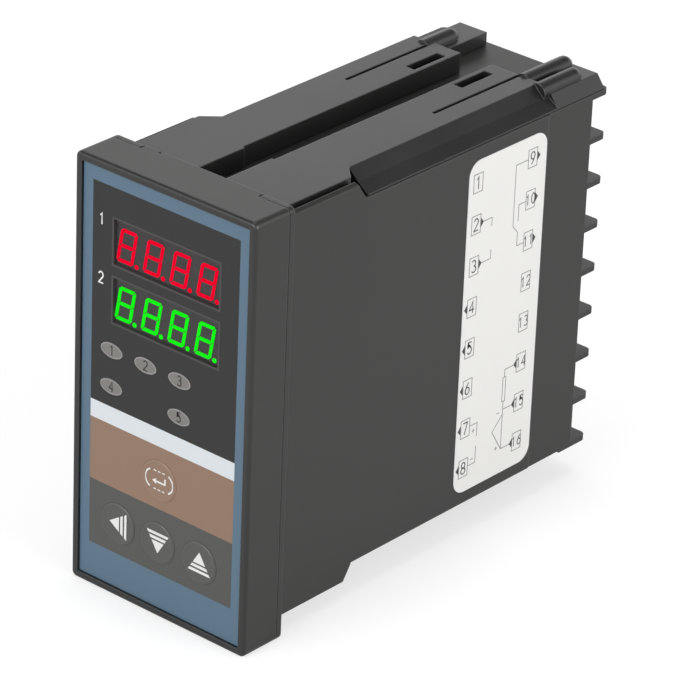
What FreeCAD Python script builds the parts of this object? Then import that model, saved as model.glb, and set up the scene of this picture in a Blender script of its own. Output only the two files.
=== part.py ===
import FreeCAD, Part
import math
import os

from FreeCAD import Vector

# Panel-mounted temperature controller, millimetres.
# X runs across the face, Y runs from the face back through the panel, Z is up.
# The origin is the middle of the flange's rear face, which seats on the panel.

# Face and flange
FACE_WIDTH = 48.0
FACE_HEIGHT = 96.0
BEZEL_DEPTH = 9.8
FLANGE_THICK = 1.6
FACE_CORNER = 1.3
FACE_EDGE = 0.7
BEZEL_WALL = 2.0
FACE_PLATE = 2.0
RIM_WIDTH = 1.7
FILM_RECESS = 0.6
FILM_THICK = 0.3
TONGUE_WIDTH = 31.0
TONGUE_HEIGHT = 1.4
TONGUE_GAP = 0.45
SEAM_GAP = 0.18
FLANGE_EDGE = 0.5
LATCH_HOLE_WIDTH = 1.3
LATCH_HOLE_DEPTH = 0.9
LATCH_HOLE_LEFT = 11.0
FIT_GAP = 0.1

# Case
FLANGE_SIDE_LIP = 1.6
FLANGE_END_LIP = 6.75
BODY_RISE = 0.8
CASE_LENGTH = 79.6
CASE_WALL = 2.0
CASE_EDGE = 0.6
STAGE_PROUD = 3.3
STAGE_RIDGE = 0.6
STAGE_LENGTH = 19.8
STAGE_RUN = 2.6
STAGE_WALL = 1.0
RAIL_INSET = 7.4
RAIL_STEM = 1.6
RAIL_HEAD = 3.0
RAIL_HEIGHT = 1.9
RAIL_HEAD_THICK = 0.9
RAIL_START = 26.0
RAIL_END_GAP = 1.0
GUIDE_HEIGHT = 1.0
GUIDE_THICK = 0.9
GUIDE_START = 5.0

# Terminal block
BLOCK_LENGTH = 14.3
BLOCK_INSET = 0.5
BLOCK_REAR_WALL = 7.9
SPIGOT_LENGTH = 4.0
SPIGOT_WALL = 1.6
TERMINAL_PITCH = 10.15
FIN_THICK = 1.3
FIN_PROUD = 5.3
FIN_CORNER = 1.4
SPINE_WIDTH = 11.0
SPINE_STEP = 1.0
POCKET_DEPTH = 4.5
POCKET_SIDE_WALL = 1.5
POCKET_SPINE_WALL = 3.0
POCKET_HEIGHT = 8.2
TERMINAL_INSET = 7.0
PLATE_THICK = 1.0
PLATE_GAP = 0.35
BLADE_INSET = 5.0
BLADE_THICK = 0.8
BLADE_HEIGHT = 3.2
BLADE_REACH = 21.0
WASHER_SIZE = 7.2
WASHER_THICK = 0.8
SCREW_RADIUS = 1.75
SCREW_GAP = 0.05
SCREW_REACH = 3.0
SCREW_HEAD_RADIUS = 3.2
SCREW_HEAD_HEIGHT = 2.2
SCREW_RECESS_WIDTH = 0.9
SCREW_RECESS_DEPTH = 1.2

# Mounting bracket
BRACKET_LIFT = 0.1
BRACKET_HEIGHT = 4.35
BRACKET_FRONT_GAP = 0.2
BRACKET_FRONT_BAR = 2.1
ARM_STAGE_GAP = 1.1
ARM_SLOPE_RUN = 5.35
ARM_CREASE_OUT = 2.6
ARM_CREASE_DOWN = 2.35
ARM_BACK_OFF = 0.15
ARM_TAPER_START = 20.1
ARM_TAPER_END = 23.4
ARM_END = 82.6
CHANNEL_HALF_FRONT = 3.6
CHANNEL_HALF_REAR = 4.2
CHANNEL_STEP = 15.5
SLIT_OFFSET = 11.7
SLIT_WIDTH = 0.9
SLIT_START = 55.0
CATCH_OFFSET = 6.4
CATCH_WIDTH = 2.4
CATCH_START = 69.0
CATCH_LENGTH = 10.0
GRIP_DROP = 1.5
GRIP_INNER = 9.6
GRIP_LEFT_OUTER = 17.0
GRIP_SLOPE_RUN = 2.1
GRIP_GAP = 0.6
GRIP_END = 97.8
GRIP_NECK = 1.6
THUMB_RADIUS = 2.0
THUMB_INNER = 3.0
THUMB_OUTER = 2.4
THUMB_LEFT_END = 6.0
THUMB_OUTER_END = 3.5
RAIL_GAP = 0.3

# Windows, lamps and keys in the face: drops from its top edge, rises from its bottom edge
WINDOW_WIDTH = 28.8
WINDOW_HEIGHT = 10.4
WINDOW_X = 0.25
UPPER_WINDOW_DROP = 16.8
LOWER_WINDOW_DROP = 29.6
WINDOW_DEPTH = 0.45
DIGITS = 4
DIGIT_PITCH = 7.15
DIGIT_WIDTH = 4.5
DIGIT_HEIGHT = 7.5
DIGIT_SLANT = 10.0
UPPER_DIGIT_MARGIN = 0.5
LOWER_DIGIT_MARGIN = 0.25
DIGIT_DROP = 0.35
SEGMENT_WIDTH = 0.76
SEGMENT_GAP = 0.16
SEGMENT_CHAMFER = 0.5
SEGMENT_THICK = 0.12
POINT_RADIUS = 0.52
POINT_OFFSET = 1.0
MODULE_CLEARANCE = 0.3
MODULE_GAP = 0.16
LAMP_HALF_WIDTH = 3.1
LAMP_HALF_HEIGHT = 1.75
LAMP_DEPTH = 1.7
LAMP_LEFT = 14.0
LAMP_MIDDLE = 4.8
LAMP_RIGHT = 4.45
LAMP_UPPER_DROP = 40.9
LAMP_LOWER_DROP = 49.0
LED_RADIUS = 1.4
LED_TOP_GAP = 0.4
KEY_RADIUS = 4.65
KEY_THICK = 0.6
KEY_PROUD = 0.1
KEY_EDGE = 0.2
KEY_RING_GAP = 0.05
KEY_POCKET_DEPTH = 0.9
KEY_STEM_RADIUS = 2.5
KEY_COLLAR_RADIUS = 3.3
KEY_COLLAR_THICK = 0.9
KEY_TRAVEL = 0.3
KEY_FREE_PLAY = 0.05
SET_KEY_LEFT = 0.4
SET_KEY_RISE = 30.8
SHIFT_KEY_LEFT = 11.5
DOWN_KEY_LEFT = 0.5
UP_KEY_RIGHT = 10.9
ARROW_KEY_RISE = 16.6

# Boards and what they carry
BOARD_THICK = 1.6
BOARD_BACK_GAP = 1.7
BOARD_SIDE_GAP = 0.5
BOARD_END_GAP = 1.0
POST_RADIUS = 2.2
POST_INSET = 3.2
POST_SCREW_RADIUS = 1.1
POST_SCREW_HEAD = 2.0
POST_SCREW_HEAD_THICK = 1.3
POST_SCREW_REACH = 3.0
SIDE_BOARD_INSET = 4.4
SIDE_BOARD_LENGTH = 71.5
SIDE_BOARD_GAP = 0.55
SWITCH_SIZE = 6.0
SWITCH_BODY = 1.6
SWITCH_BUTTON_RADIUS = 1.7
SOCKET_LENGTH = 9.0
SOCKET_THICK = 7.2
SOCKET_SLOT_GAP = 0.25
SOCKET_SPIGOT_GAP = 0.6
SOCKET_END_WALL = 2.2
HEADER_LENGTH = 5.5
HEADER_THICK = 5.0
HEADER_HEIGHT = 34.0
CORE_START = 36.0
CORE_STACK = 16.0
CORE_HEIGHT = 32.0
CORE_WIDTH = 19.0
CORE_LEG = 5.4
CORE_MIDDLE_LEG = 10.2
CORE_DROP = 24.05
COIL_PROUD = 5.0
COIL_GAP = 0.1
COIL_MARGIN = 3.0
BASE_THICK = 3.0
RELAY_LENGTH = 19.0
RELAY_WIDTH = 15.0
RELAY_HEIGHT = 15.5
RELAY_EDGE = 0.8
RELAY_START = 9.0
RELAY_RISE = 10.45
RELAY_PITCH = 17.0
# Place along the case, drop from the roof, radius and height of each capacitor
CAPACITORS = ((14.0, 12.0, 5.0, 18.0), (14.0, 26.0, 4.0, 13.0), (25.5, 16.0, 4.0, 13.0))
CAPACITOR_EDGE = 0.6
CHIP_HEIGHT = 3.4
# Place along the case, length, height above the middle and width of each chip
CHIPS = ((20.0, 37.0, -4.0, 13.6), (24.0, 10.0, 20.0, 7.6), (44.0, 10.0, 20.0, 7.6), (20.0, 12.0, -26.0, 7.6))

# Side label
LABEL_START = 54.4
LABEL_WIDTH = 24.8
LABEL_EDGE = 3.1
LABEL_THICK = 0.12
LABEL_CORNER = 3.4

# Places worked out from the sizes above
FACE_Y = -(BEZEL_DEPTH + FLANGE_THICK)
FILM_Y = FACE_Y + FILM_RECESS
PLATE_Y = FILM_Y + FILM_THICK
PLATE_BACK_Y = PLATE_Y + FACE_PLATE
CASE_HALF = FACE_WIDTH / 2 - FLANGE_SIDE_LIP
BODY_HEIGHT = FACE_HEIGHT - 2 * FLANGE_END_LIP
BODY_TOP = BODY_RISE + BODY_HEIGHT / 2
BODY_BOTTOM = BODY_RISE - BODY_HEIGHT / 2
ROOM_HALF = CASE_HALF - CASE_WALL
ROOM_TOP = BODY_TOP - CASE_WALL
ROOM_BOTTOM = BODY_BOTTOM + CASE_WALL
BLOCK_Y = CASE_LENGTH + BLOCK_LENGTH
FIN_Y = BLOCK_Y + FIN_PROUD
POCKET_Y = BLOCK_Y - POCKET_DEPTH
BLOCK_ROOM_Y = BLOCK_Y - BLOCK_REAR_WALL
TERMINALS = int((BODY_HEIGHT - FIN_THICK) / TERMINAL_PITCH + 0.001)
TERMINAL_X = CASE_HALF - TERMINAL_INSET
SIDE_BOARD_FACE = ROOM_HALF - SIDE_BOARD_INSET
BLADE_X = SIDE_BOARD_FACE - BLADE_INSET
ARM_FRONT_HALF = CASE_HALF - STAGE_WALL - ARM_STAGE_GAP
ARM_FOOT_HALF = CASE_HALF - ARM_BACK_OFF
ARM_TOP_HALF = ARM_FOOT_HALF - ARM_SLOPE_RUN
UPPER_WINDOW_Z = FACE_HEIGHT / 2 - UPPER_WINDOW_DROP
LOWER_WINDOW_Z = FACE_HEIGHT / 2 - LOWER_WINDOW_DROP
BEZEL_BACK_Y = -FLANGE_THICK - SEAM_GAP
DISPLAY_BOARD_WIDTH = FACE_WIDTH - 2 * (BEZEL_WALL + BOARD_SIDE_GAP)
DISPLAY_BOARD_HEIGHT = FACE_HEIGHT - 2 * (BEZEL_WALL + BOARD_END_GAP)
DISPLAY_BOARD_Y = -FLANGE_THICK - BOARD_BACK_GAP - BOARD_THICK
SIDE_BOARD_Y = -FLANGE_THICK - BOARD_BACK_GAP + FIT_GAP
BRACKET_BOTTOM = BODY_TOP + BRACKET_LIFT
BRACKET_TOP = BRACKET_BOTTOM + BRACKET_HEIGHT
FAR = 200.0


def block(x0, x1, y0, y1, z0, z1):
    """A box between two corners, given in any order."""
    low = Vector(min(x0, x1), min(y0, y1), min(z0, z1))
    return Part.makeBox(abs(x1 - x0), abs(y1 - y0), abs(z1 - z0), low)


def rod(radius, x, z, y0, y1):
    """A round bar along Y."""
    return Part.makeCylinder(radius, y1 - y0, Vector(x, y0, z), Vector(0, 1, 0))


def prism(points, reach):
    """A polygon pushed along a vector."""
    corners = [Vector(*point) for point in points]
    return Part.Face(Part.makePolygon(corners + corners[:1])).extrude(Vector(*reach))


def oval(half_width, half_height, x, z, y0, y1):
    """An elliptical bar along Y."""
    centre = Vector(x, y0, z)
    curve = Part.Ellipse(Vector(x + half_width, y0, z), Vector(x, y0, z + half_height), centre)
    return Part.Face(Part.Wire(curve.toShape())).extrude(Vector(0, y1 - y0, 0))


def joined(first, *others):
    return first.fuse(list(others)).removeSplitter()


def mirrored(shape):
    """The same shape on the other side of the middle plane."""
    return shape.mirror(Vector(0, 0, 0), Vector(1, 0, 0))


def edges_along(shape, axis, test):
    """Straight edges parallel to an axis whose middle passes a test."""
    found = []
    for edge in shape.Edges:
        if edge.Curve.TypeId != "Part::GeomLine":
            continue
        run = edge.Vertexes[-1].Point.sub(edge.Vertexes[0].Point)
        if run.Length > 0 and abs(abs(run.normalize().dot(axis)) - 1) < 1e-6 and test(edge.CenterOfMass):
            found.append(edge)
    return found


def at_corner(half_width, half_height, rise=0.0):
    """True for a point that lies on a corner edge of a bar along Y."""
    def test(point):
        return abs(abs(point.x) - half_width) < 1e-3 and abs(abs(point.z - rise) - half_height) < 1e-3
    return test


def save(name, *solids):
    """One STEP file for each node; like pieces go in together as separate solids."""
    shape = solids[0] if len(solids) == 1 else Part.makeCompound(list(solids))
    shape.exportStep(os.path.join("parts", name + ".step"))


def key_places():
    bottom = -FACE_HEIGHT / 2
    row = bottom + ARROW_KEY_RISE
    return (("set_key", (-SET_KEY_LEFT, bottom + SET_KEY_RISE)), ("shift_key", (-SHIFT_KEY_LEFT, row)),
            ("down_key", (-DOWN_KEY_LEFT, row)), ("up_key", (UP_KEY_RIGHT, row)))


def lamp_places():
    """Three lamps in the upper row, and two below its ends."""
    upper = FACE_HEIGHT / 2 - LAMP_UPPER_DROP
    lower = FACE_HEIGHT / 2 - LAMP_LOWER_DROP
    return ((-LAMP_LEFT, upper), (-LAMP_MIDDLE, upper), (LAMP_RIGHT, upper), (-LAMP_LEFT, lower), (LAMP_RIGHT, lower))


def terminal_heights():
    first = BODY_TOP - FIN_THICK - (TERMINAL_PITCH - FIN_THICK) / 2
    return [first - TERMINAL_PITCH * count for count in range(TERMINALS)]


def post_places():
    x = DISPLAY_BOARD_WIDTH / 2 - POST_INSET
    z = DISPLAY_BOARD_HEIGHT / 2 - POST_INSET
    return [(side * x, level * z) for side in (-1, 1) for level in (-1, 1)]


# Case ------------------------------------------------------------------------------------------

def flange():
    plate = block(-FACE_WIDTH / 2, FACE_WIDTH / 2, -FLANGE_THICK, 0, -FACE_HEIGHT / 2, FACE_HEIGHT / 2)
    corners = edges_along(plate, Vector(0, 1, 0), at_corner(FACE_WIDTH / 2, FACE_HEIGHT / 2))
    plate = plate.makeFillet(FACE_CORNER, corners)
    rear = [edge for edge in plate.Edges if abs(edge.CenterOfMass.y) < 1e-3]
    plate = plate.makeFillet(FLANGE_EDGE, rear)
    half = TONGUE_WIDTH / 2 + TONGUE_GAP
    inner = FACE_HEIGHT / 2 - TONGUE_HEIGHT - FIT_GAP
    notches = [block(-half, half, -FAR, FAR, level * inner, level * FAR) for level in (-1, 1)]
    return plate.cut(notches)


def stage_rims():
    """Thin side rims in front, which stand past the body and fill the panel's cut-out."""
    inner = CASE_HALF - STAGE_WALL
    rims = []
    for side in (-1, 1):
        for level, base in ((1, BODY_TOP), (-1, BODY_BOTTOM)):
            foot = base - level * CASE_WALL / 2
            outer = base + level * STAGE_PROUD
            ridge = outer + level * STAGE_RIDGE
            section = ((side * inner, 0, foot), (side * CASE_HALF, 0, foot),
                       (side * CASE_HALF, 0, outer), (side * inner, 0, ridge))
            rim = prism(section, (0, STAGE_LENGTH + STAGE_RUN, 0))
            ramp = ((-FAR, STAGE_LENGTH, ridge), (-FAR, STAGE_LENGTH + STAGE_RUN, base),
                    (-FAR, STAGE_LENGTH + STAGE_RUN + 1, base), (-FAR, STAGE_LENGTH + STAGE_RUN + 1, ridge))
            rims.append(rim.cut(prism(ramp, (2 * FAR, 0, 0))))
    return rims


def rail(side, level, gap=0.0, start=RAIL_START, end=CASE_LENGTH - RAIL_END_GAP):
    """A T-shaped rail on the case, or with a gap the slot that runs on it."""
    base = BODY_TOP if level > 0 else BODY_BOTTOM
    x = side * (CASE_HALF - RAIL_INSET)
    neck = base + level * (RAIL_HEIGHT - RAIL_HEAD_THICK - gap)
    top = base + level * (RAIL_HEIGHT + gap)
    stem_half = RAIL_STEM / 2 + gap
    head_half = RAIL_HEAD / 2 + gap
    stem = block(x - stem_half, x + stem_half, start, end, base - level * CASE_WALL / 2, top)
    return joined(stem, block(x - head_half, x + head_half, start, end, neck, top))


def board_guides():
    """Ribs inside the roof and floor that hold the edges of the two side boards."""
    ribs = []
    inner = SIDE_BOARD_FACE - FIT_GAP - GUIDE_THICK
    outer = SIDE_BOARD_FACE + BOARD_THICK + FIT_GAP
    for side in (-1, 1):
        for start in (inner, outer):
            for wall, tip in ((ROOM_TOP, ROOM_TOP - GUIDE_HEIGHT), (ROOM_BOTTOM, ROOM_BOTTOM + GUIDE_HEIGHT)):
                root = wall + math.copysign(CASE_WALL / 2, wall - tip)
                end = CASE_LENGTH - SPIGOT_LENGTH - RAIL_END_GAP
                ribs.append(block(side * start, side * (start + GUIDE_THICK), GUIDE_START, end, root, tip))
    return ribs


def case_shell():
    body = block(-CASE_HALF, CASE_HALF, -FLANGE_THICK, CASE_LENGTH, BODY_BOTTOM, BODY_TOP)
    corners = edges_along(body, Vector(0, 1, 0), at_corner(CASE_HALF, BODY_HEIGHT / 2, BODY_RISE))
    body = body.makeFillet(CASE_EDGE, corners)
    rails = [rail(side, level) for side in (-1, 1) for level in (-1, 1)]
    outside = joined(body, flange(), *(stage_rims() + rails))
    room = block(-ROOM_HALF, ROOM_HALF, -FAR, FAR, ROOM_BOTTOM, ROOM_TOP)
    return joined(outside.cut(room), *board_guides())


# Terminal block --------------------------------------------------------------------------------

def barrier_fins():
    fins = []
    for count in range(TERMINALS + 1):
        top = BODY_TOP - count * TERMINAL_PITCH
        fin = block(-CASE_HALF, CASE_HALF, BLOCK_Y - BLOCK_REAR_WALL / 2, FIN_Y, top - FIN_THICK, top)
        corners = edges_along(fin, Vector(0, 0, 1), lambda point: point.y > BLOCK_Y)
        fins.append(fin.makeFillet(FIN_CORNER, corners))
    return fins


def terminal_block():
    bottom = BODY_BOTTOM + BLOCK_INSET
    outer = block(-CASE_HALF, CASE_HALF, CASE_LENGTH, BLOCK_Y, bottom, BODY_TOP)
    gap = FIT_GAP
    spigot = block(-ROOM_HALF + gap, ROOM_HALF - gap, CASE_LENGTH - SPIGOT_LENGTH, CASE_LENGTH + 1,
                   ROOM_BOTTOM + gap, ROOM_TOP - gap)
    wall = gap + SPIGOT_WALL
    room = block(-ROOM_HALF + wall, ROOM_HALF - wall, -FAR, BLOCK_ROOM_Y, ROOM_BOTTOM + wall, ROOM_TOP - wall)
    spine = block(-SPINE_WIDTH / 2, SPINE_WIDTH / 2, BLOCK_Y - 1, FIN_Y - SPINE_STEP, bottom, BODY_TOP)
    solid = joined(outer, spigot, spine, *barrier_fins()).cut(room)
    cuts = []
    for side in (-1, 1):
        for z in terminal_heights():
            half = POCKET_HEIGHT / 2
            near = side * (SPINE_WIDTH / 2 + POCKET_SPINE_WALL)
            far = side * (CASE_HALF - POCKET_SIDE_WALL)
            cuts.append(block(near, far, POCKET_Y, BLOCK_Y + 1, z - half, z + half))
            cuts.append(rod(SCREW_RADIUS + FIT_GAP, side * TERMINAL_X, z, POCKET_Y - SCREW_REACH - FIT_GAP, BLOCK_Y))
            slot_x = BLADE_THICK / 2 + FIT_GAP
            slot_z = BLADE_HEIGHT / 2 + FIT_GAP
            cuts.append(block(side * BLADE_X - slot_x, side * BLADE_X + slot_x, BLOCK_ROOM_Y - 1, BLOCK_Y,
                              z - slot_z, z + slot_z))
    return solid.cut(cuts)


def terminal_contact(side, z):
    """A screw plate in the pocket with a blade that reaches forward to the chassis socket."""
    near = side * (SPINE_WIDTH / 2 + POCKET_SPINE_WALL + PLATE_GAP)
    far = side * (CASE_HALF - POCKET_SIDE_WALL - PLATE_GAP)
    half = POCKET_HEIGHT / 2 - PLATE_GAP
    plate = block(near, far, POCKET_Y, POCKET_Y + PLATE_THICK, z - half, z + half)
    blade = block(side * BLADE_X - BLADE_THICK / 2, side * BLADE_X + BLADE_THICK / 2,
                  POCKET_Y - BLADE_REACH, POCKET_Y + PLATE_THICK / 2, z - BLADE_HEIGHT / 2, z + BLADE_HEIGHT / 2)
    hole = rod(SCREW_RADIUS + SCREW_GAP, side * TERMINAL_X, z, 0, FAR)
    return joined(plate, blade).cut(hole)


def clamp_washer(side, z):
    x = side * TERMINAL_X
    start = POCKET_Y + PLATE_THICK
    half = WASHER_SIZE / 2
    square = block(x - half, x + half, start, start + WASHER_THICK, z - half, z + half)
    return square.cut(rod(SCREW_RADIUS + FIT_GAP, x, z, 0, FAR))


def terminal_screw(side, z):
    x = side * TERMINAL_X
    seat = POCKET_Y + PLATE_THICK + WASHER_THICK
    top = seat + SCREW_HEAD_HEIGHT
    head = rod(SCREW_HEAD_RADIUS, x, z, seat, top)
    rim = [edge for edge in head.Edges if abs(edge.CenterOfMass.y - top) < 1e-3]
    head = head.makeFillet(SCREW_HEAD_HEIGHT / 3, rim)
    shank = rod(SCREW_RADIUS, x, z, POCKET_Y - SCREW_REACH, seat + SCREW_HEAD_HEIGHT / 2)
    reach = SCREW_HEAD_RADIUS * 0.7
    half = SCREW_RECESS_WIDTH / 2
    floor = top - SCREW_RECESS_DEPTH
    cross = [block(x - reach, x + reach, floor, FAR, z - half, z + half),
             block(x - half, x + half, floor, FAR, z - reach, z + reach)]
    return joined(head, shank).cut(cross)


def save_terminals():
    places = [(side, z) for side in (-1, 1) for z in terminal_heights()]
    save("terminal_contacts", *[terminal_contact(*place) for place in places])
    save("clamp_washers", *[clamp_washer(*place) for place in places])
    save("terminal_screws", *[terminal_screw(*place) for place in places])


# Mounting bracket ------------------------------------------------------------------------------

def arm_section(y):
    """The sloped cross-section of the arms behind the case's front stage."""
    crease = ARM_TOP_HALF + ARM_CREASE_OUT
    right = ((ARM_FOOT_HALF, y, BRACKET_BOTTOM), (crease, y, BRACKET_TOP - ARM_CREASE_DOWN), (ARM_TOP_HALF, y, BRACKET_TOP))
    left = tuple((-x, place, z) for x, place, z in reversed(right))
    return right + left


def arms():
    front = BRACKET_FRONT_GAP
    plan = ((-ARM_FRONT_HALF, front), (ARM_FRONT_HALF, front), (ARM_FRONT_HALF, ARM_TAPER_START),
            (ARM_TOP_HALF, ARM_TAPER_END), (-ARM_TOP_HALF, ARM_TAPER_END), (-ARM_FRONT_HALF, ARM_TAPER_START))
    nose = prism([(x, y, BRACKET_BOTTOM) for x, y in plan], (0, 0, BRACKET_HEIGHT))
    tail = prism(arm_section(ARM_TAPER_END), (0, ARM_END - ARM_TAPER_END, 0))
    return joined(nose, tail)


def thumb_ridge(x, start, end):
    """A half-round ridge on the grip with a domed rear end."""
    level = BRACKET_TOP - GRIP_DROP
    bar = rod(THUMB_RADIUS, x, level, start, end - THUMB_RADIUS)
    return joined(bar, Part.makeSphere(THUMB_RADIUS, Vector(x, end - THUMB_RADIUS, level)))


def grips():
    """The two thumb grips behind the arms: the left one hangs on its finger, the right on the side."""
    top = BRACKET_TOP - GRIP_DROP
    start = ARM_END + GRIP_GAP
    slit_in = SLIT_OFFSET - SLIT_WIDTH / 2
    slit_out = SLIT_OFFSET + SLIT_WIDTH / 2
    left = block(-GRIP_LEFT_OUTER, -GRIP_INNER, start, GRIP_END, BRACKET_BOTTOM, top)
    left_neck = block(-slit_in, -GRIP_INNER, ARM_END - GRIP_NECK, start + GRIP_NECK, BRACKET_BOTTOM, top)
    shoulder = ARM_FOOT_HALF - GRIP_SLOPE_RUN
    section = ((GRIP_INNER, start, BRACKET_BOTTOM), (ARM_FOOT_HALF, start, BRACKET_BOTTOM),
               (shoulder, start, top), (GRIP_INNER, start, top))
    right = prism(section, (0, GRIP_END - start, 0))
    tail = ((slit_out, BRACKET_BOTTOM), (ARM_FOOT_HALF, BRACKET_BOTTOM), (shoulder, top), (slit_out, top))
    right_neck = prism([(x, ARM_END - GRIP_NECK, z) for x, z in tail], (0, GRIP_NECK + GRIP_GAP + 1, 0))
    right_neck = right_neck.cut(block(0, FAR, -FAR, ARM_END, -FAR, FAR).cut(prism(arm_section(0), (0, FAR, 0))))
    middle = (GRIP_LEFT_OUTER + GRIP_INNER) / 2
    ridges = [thumb_ridge(-middle, ARM_END - GRIP_NECK, GRIP_END - THUMB_LEFT_END),
              thumb_ridge(GRIP_INNER + THUMB_INNER, ARM_END, GRIP_END),
              thumb_ridge(shoulder - THUMB_OUTER, ARM_END - GRIP_NECK, GRIP_END - THUMB_OUTER_END)]
    keep = block(-FAR, FAR, -FAR, FAR, BRACKET_BOTTOM, FAR)
    return [left, left_neck, right, right_neck] + [ridge.common(keep) for ridge in ridges]


def mounting_bracket():
    low = BRACKET_BOTTOM - 1
    high = BRACKET_TOP + 1
    bar_end = BRACKET_FRONT_GAP + BRACKET_FRONT_BAR
    cuts = [block(-CHANNEL_HALF_FRONT, CHANNEL_HALF_FRONT, bar_end, CHANNEL_STEP, low, high),
            block(-CHANNEL_HALF_REAR, CHANNEL_HALF_REAR, CHANNEL_STEP, FAR, low, high)]
    for side in (-1, 1):
        slit = side * SLIT_OFFSET
        catch = side * CATCH_OFFSET
        cuts.append(block(slit - SLIT_WIDTH / 2, slit + SLIT_WIDTH / 2, SLIT_START, ARM_END, low, high))
        cuts.append(block(catch - CATCH_WIDTH / 2, catch + CATCH_WIDTH / 2, CATCH_START,
                          CATCH_START + CATCH_LENGTH, low, high))
        cuts.append(rail(side, 1, RAIL_GAP, bar_end + 1, ARM_END))
    return joined(arms().cut(cuts), *grips())


# Front -----------------------------------------------------------------------------------------

def window_block(z, gap, y0, y1):
    half_x = WINDOW_WIDTH / 2 - gap
    half_z = WINDOW_HEIGHT / 2 - gap
    return block(WINDOW_X - half_x, WINDOW_X + half_x, y0, y1, z - half_z, z + half_z)


def lamp_bar(place, gap, y0, y1):
    return oval(LAMP_HALF_WIDTH - gap, LAMP_HALF_HEIGHT - gap, place[0], place[1], y0, y1)


def front_bezel():
    outer = block(-FACE_WIDTH / 2, FACE_WIDTH / 2, FACE_Y, BEZEL_BACK_Y, -FACE_HEIGHT / 2, FACE_HEIGHT / 2)
    corners = edges_along(outer, Vector(0, 1, 0), at_corner(FACE_WIDTH / 2, FACE_HEIGHT / 2))
    outer = outer.makeFillet(FACE_CORNER, corners)
    rim = [edge for edge in outer.Edges if abs(edge.CenterOfMass.y - FACE_Y) < 1e-3]
    outer = outer.makeFillet(FACE_EDGE, rim)
    half_x = FACE_WIDTH / 2 - RIM_WIDTH
    half_z = FACE_HEIGHT / 2 - RIM_WIDTH
    recess = block(-half_x, half_x, -FAR, PLATE_Y, -half_z, half_z)
    room_x = FACE_WIDTH / 2 - BEZEL_WALL
    room_z = FACE_HEIGHT / 2 - BEZEL_WALL
    room = block(-room_x, room_x, PLATE_BACK_Y, FAR, -room_z, room_z)
    shell = outer.cut([recess, room])
    posts = [rod(POST_RADIUS, x, z, PLATE_BACK_Y - 1, DISPLAY_BOARD_Y) for x, z in post_places()]
    low = FACE_HEIGHT / 2 - TONGUE_HEIGHT
    tongues = [block(-TONGUE_WIDTH / 2, TONGUE_WIDTH / 2, -FLANGE_THICK - 1, -FIT_GAP,
                     level * low, level * FACE_HEIGHT / 2) for level in (-1, 1)]
    shell = joined(shell, *(posts + tongues))
    back = PLATE_BACK_Y + 1
    cuts = [window_block(z, 0, -FAR, back) for z in (UPPER_WINDOW_Z, LOWER_WINDOW_Z)]
    cuts += [lamp_bar(place, 0, FACE_Y, back) for place in lamp_places()]
    half = LATCH_HOLE_WIDTH / 2
    cuts.append(block(-LATCH_HOLE_LEFT - half, -LATCH_HOLE_LEFT + half, -FIT_GAP - LATCH_HOLE_DEPTH, 0,
                      FACE_HEIGHT / 2 - LATCH_HOLE_DEPTH, FAR))
    for name, (x, z) in key_places():
        cuts.append(rod(KEY_RADIUS + KEY_RING_GAP, x, z, FACE_Y, PLATE_Y + KEY_POCKET_DEPTH))
        cuts.append(rod(KEY_STEM_RADIUS + FIT_GAP, x, z, FACE_Y, back))
    for x, z in post_places():
        cuts.append(rod(POST_SCREW_RADIUS + SCREW_GAP, x, z, DISPLAY_BOARD_Y - POST_SCREW_REACH, FAR))
    return shell.cut(cuts)


def front_overlay():
    half_x = FACE_WIDTH / 2 - RIM_WIDTH - FIT_GAP
    half_z = FACE_HEIGHT / 2 - RIM_WIDTH - FIT_GAP
    film = block(-half_x, half_x, FILM_Y, PLATE_Y, -half_z, half_z)
    cuts = [window_block(z, 0, -FAR, FAR) for z in (UPPER_WINDOW_Z, LOWER_WINDOW_Z)]
    cuts += [lamp_bar(place, 0, FACE_Y, PLATE_BACK_Y) for place in lamp_places()]
    cuts += [rod(KEY_RADIUS + KEY_RING_GAP, x, z, FACE_Y, PLATE_BACK_Y) for name, (x, z) in key_places()]
    return film.cut(cuts)


def key_cap(x, z):
    """A pressed disc in the face with a stem that reaches back to its switch."""
    front = FILM_Y - KEY_PROUD
    disc = rod(KEY_RADIUS, x, z, front, front + KEY_THICK)
    rim = [edge for edge in disc.Edges if abs(edge.CenterOfMass.y - front) < 1e-3]
    disc = disc.makeFillet(KEY_EDGE, rim)
    collar_y = PLATE_BACK_Y + KEY_FREE_PLAY
    stem = rod(KEY_STEM_RADIUS, x, z, front + KEY_THICK / 2, collar_y + KEY_COLLAR_THICK)
    collar = rod(KEY_COLLAR_RADIUS, x, z, collar_y, collar_y + KEY_COLLAR_THICK)
    return joined(disc, stem, collar)


def key_back():
    return PLATE_BACK_Y + KEY_FREE_PLAY + KEY_COLLAR_THICK


def tact_switch(x, z):
    half = SWITCH_SIZE / 2
    body = block(x - half, x + half, DISPLAY_BOARD_Y - SWITCH_BODY, DISPLAY_BOARD_Y, z - half, z + half)
    button_y = key_back() + KEY_TRAVEL + KEY_FREE_PLAY
    return joined(body, rod(SWITCH_BUTTON_RADIUS, x, z, button_y, DISPLAY_BOARD_Y - SWITCH_BODY / 2))


def save_front():
    save("front_bezel", front_bezel())
    save("front_overlay", front_overlay())
    gap = FIT_GAP
    save("upper_window", window_block(UPPER_WINDOW_Z, gap, FILM_Y, FILM_Y + WINDOW_DEPTH))
    save("lower_window", window_block(LOWER_WINDOW_Z, gap, FILM_Y, FILM_Y + WINDOW_DEPTH))
    save("indicator_lenses", *[lamp_bar(place, gap, FILM_Y, FILM_Y + LAMP_DEPTH) for place in lamp_places()])
    for name, place in key_places():
        save(name, key_cap(*place))
    save("tact_switches", *[tact_switch(*place) for name, place in key_places()])


# Displays --------------------------------------------------------------------------------------

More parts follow.
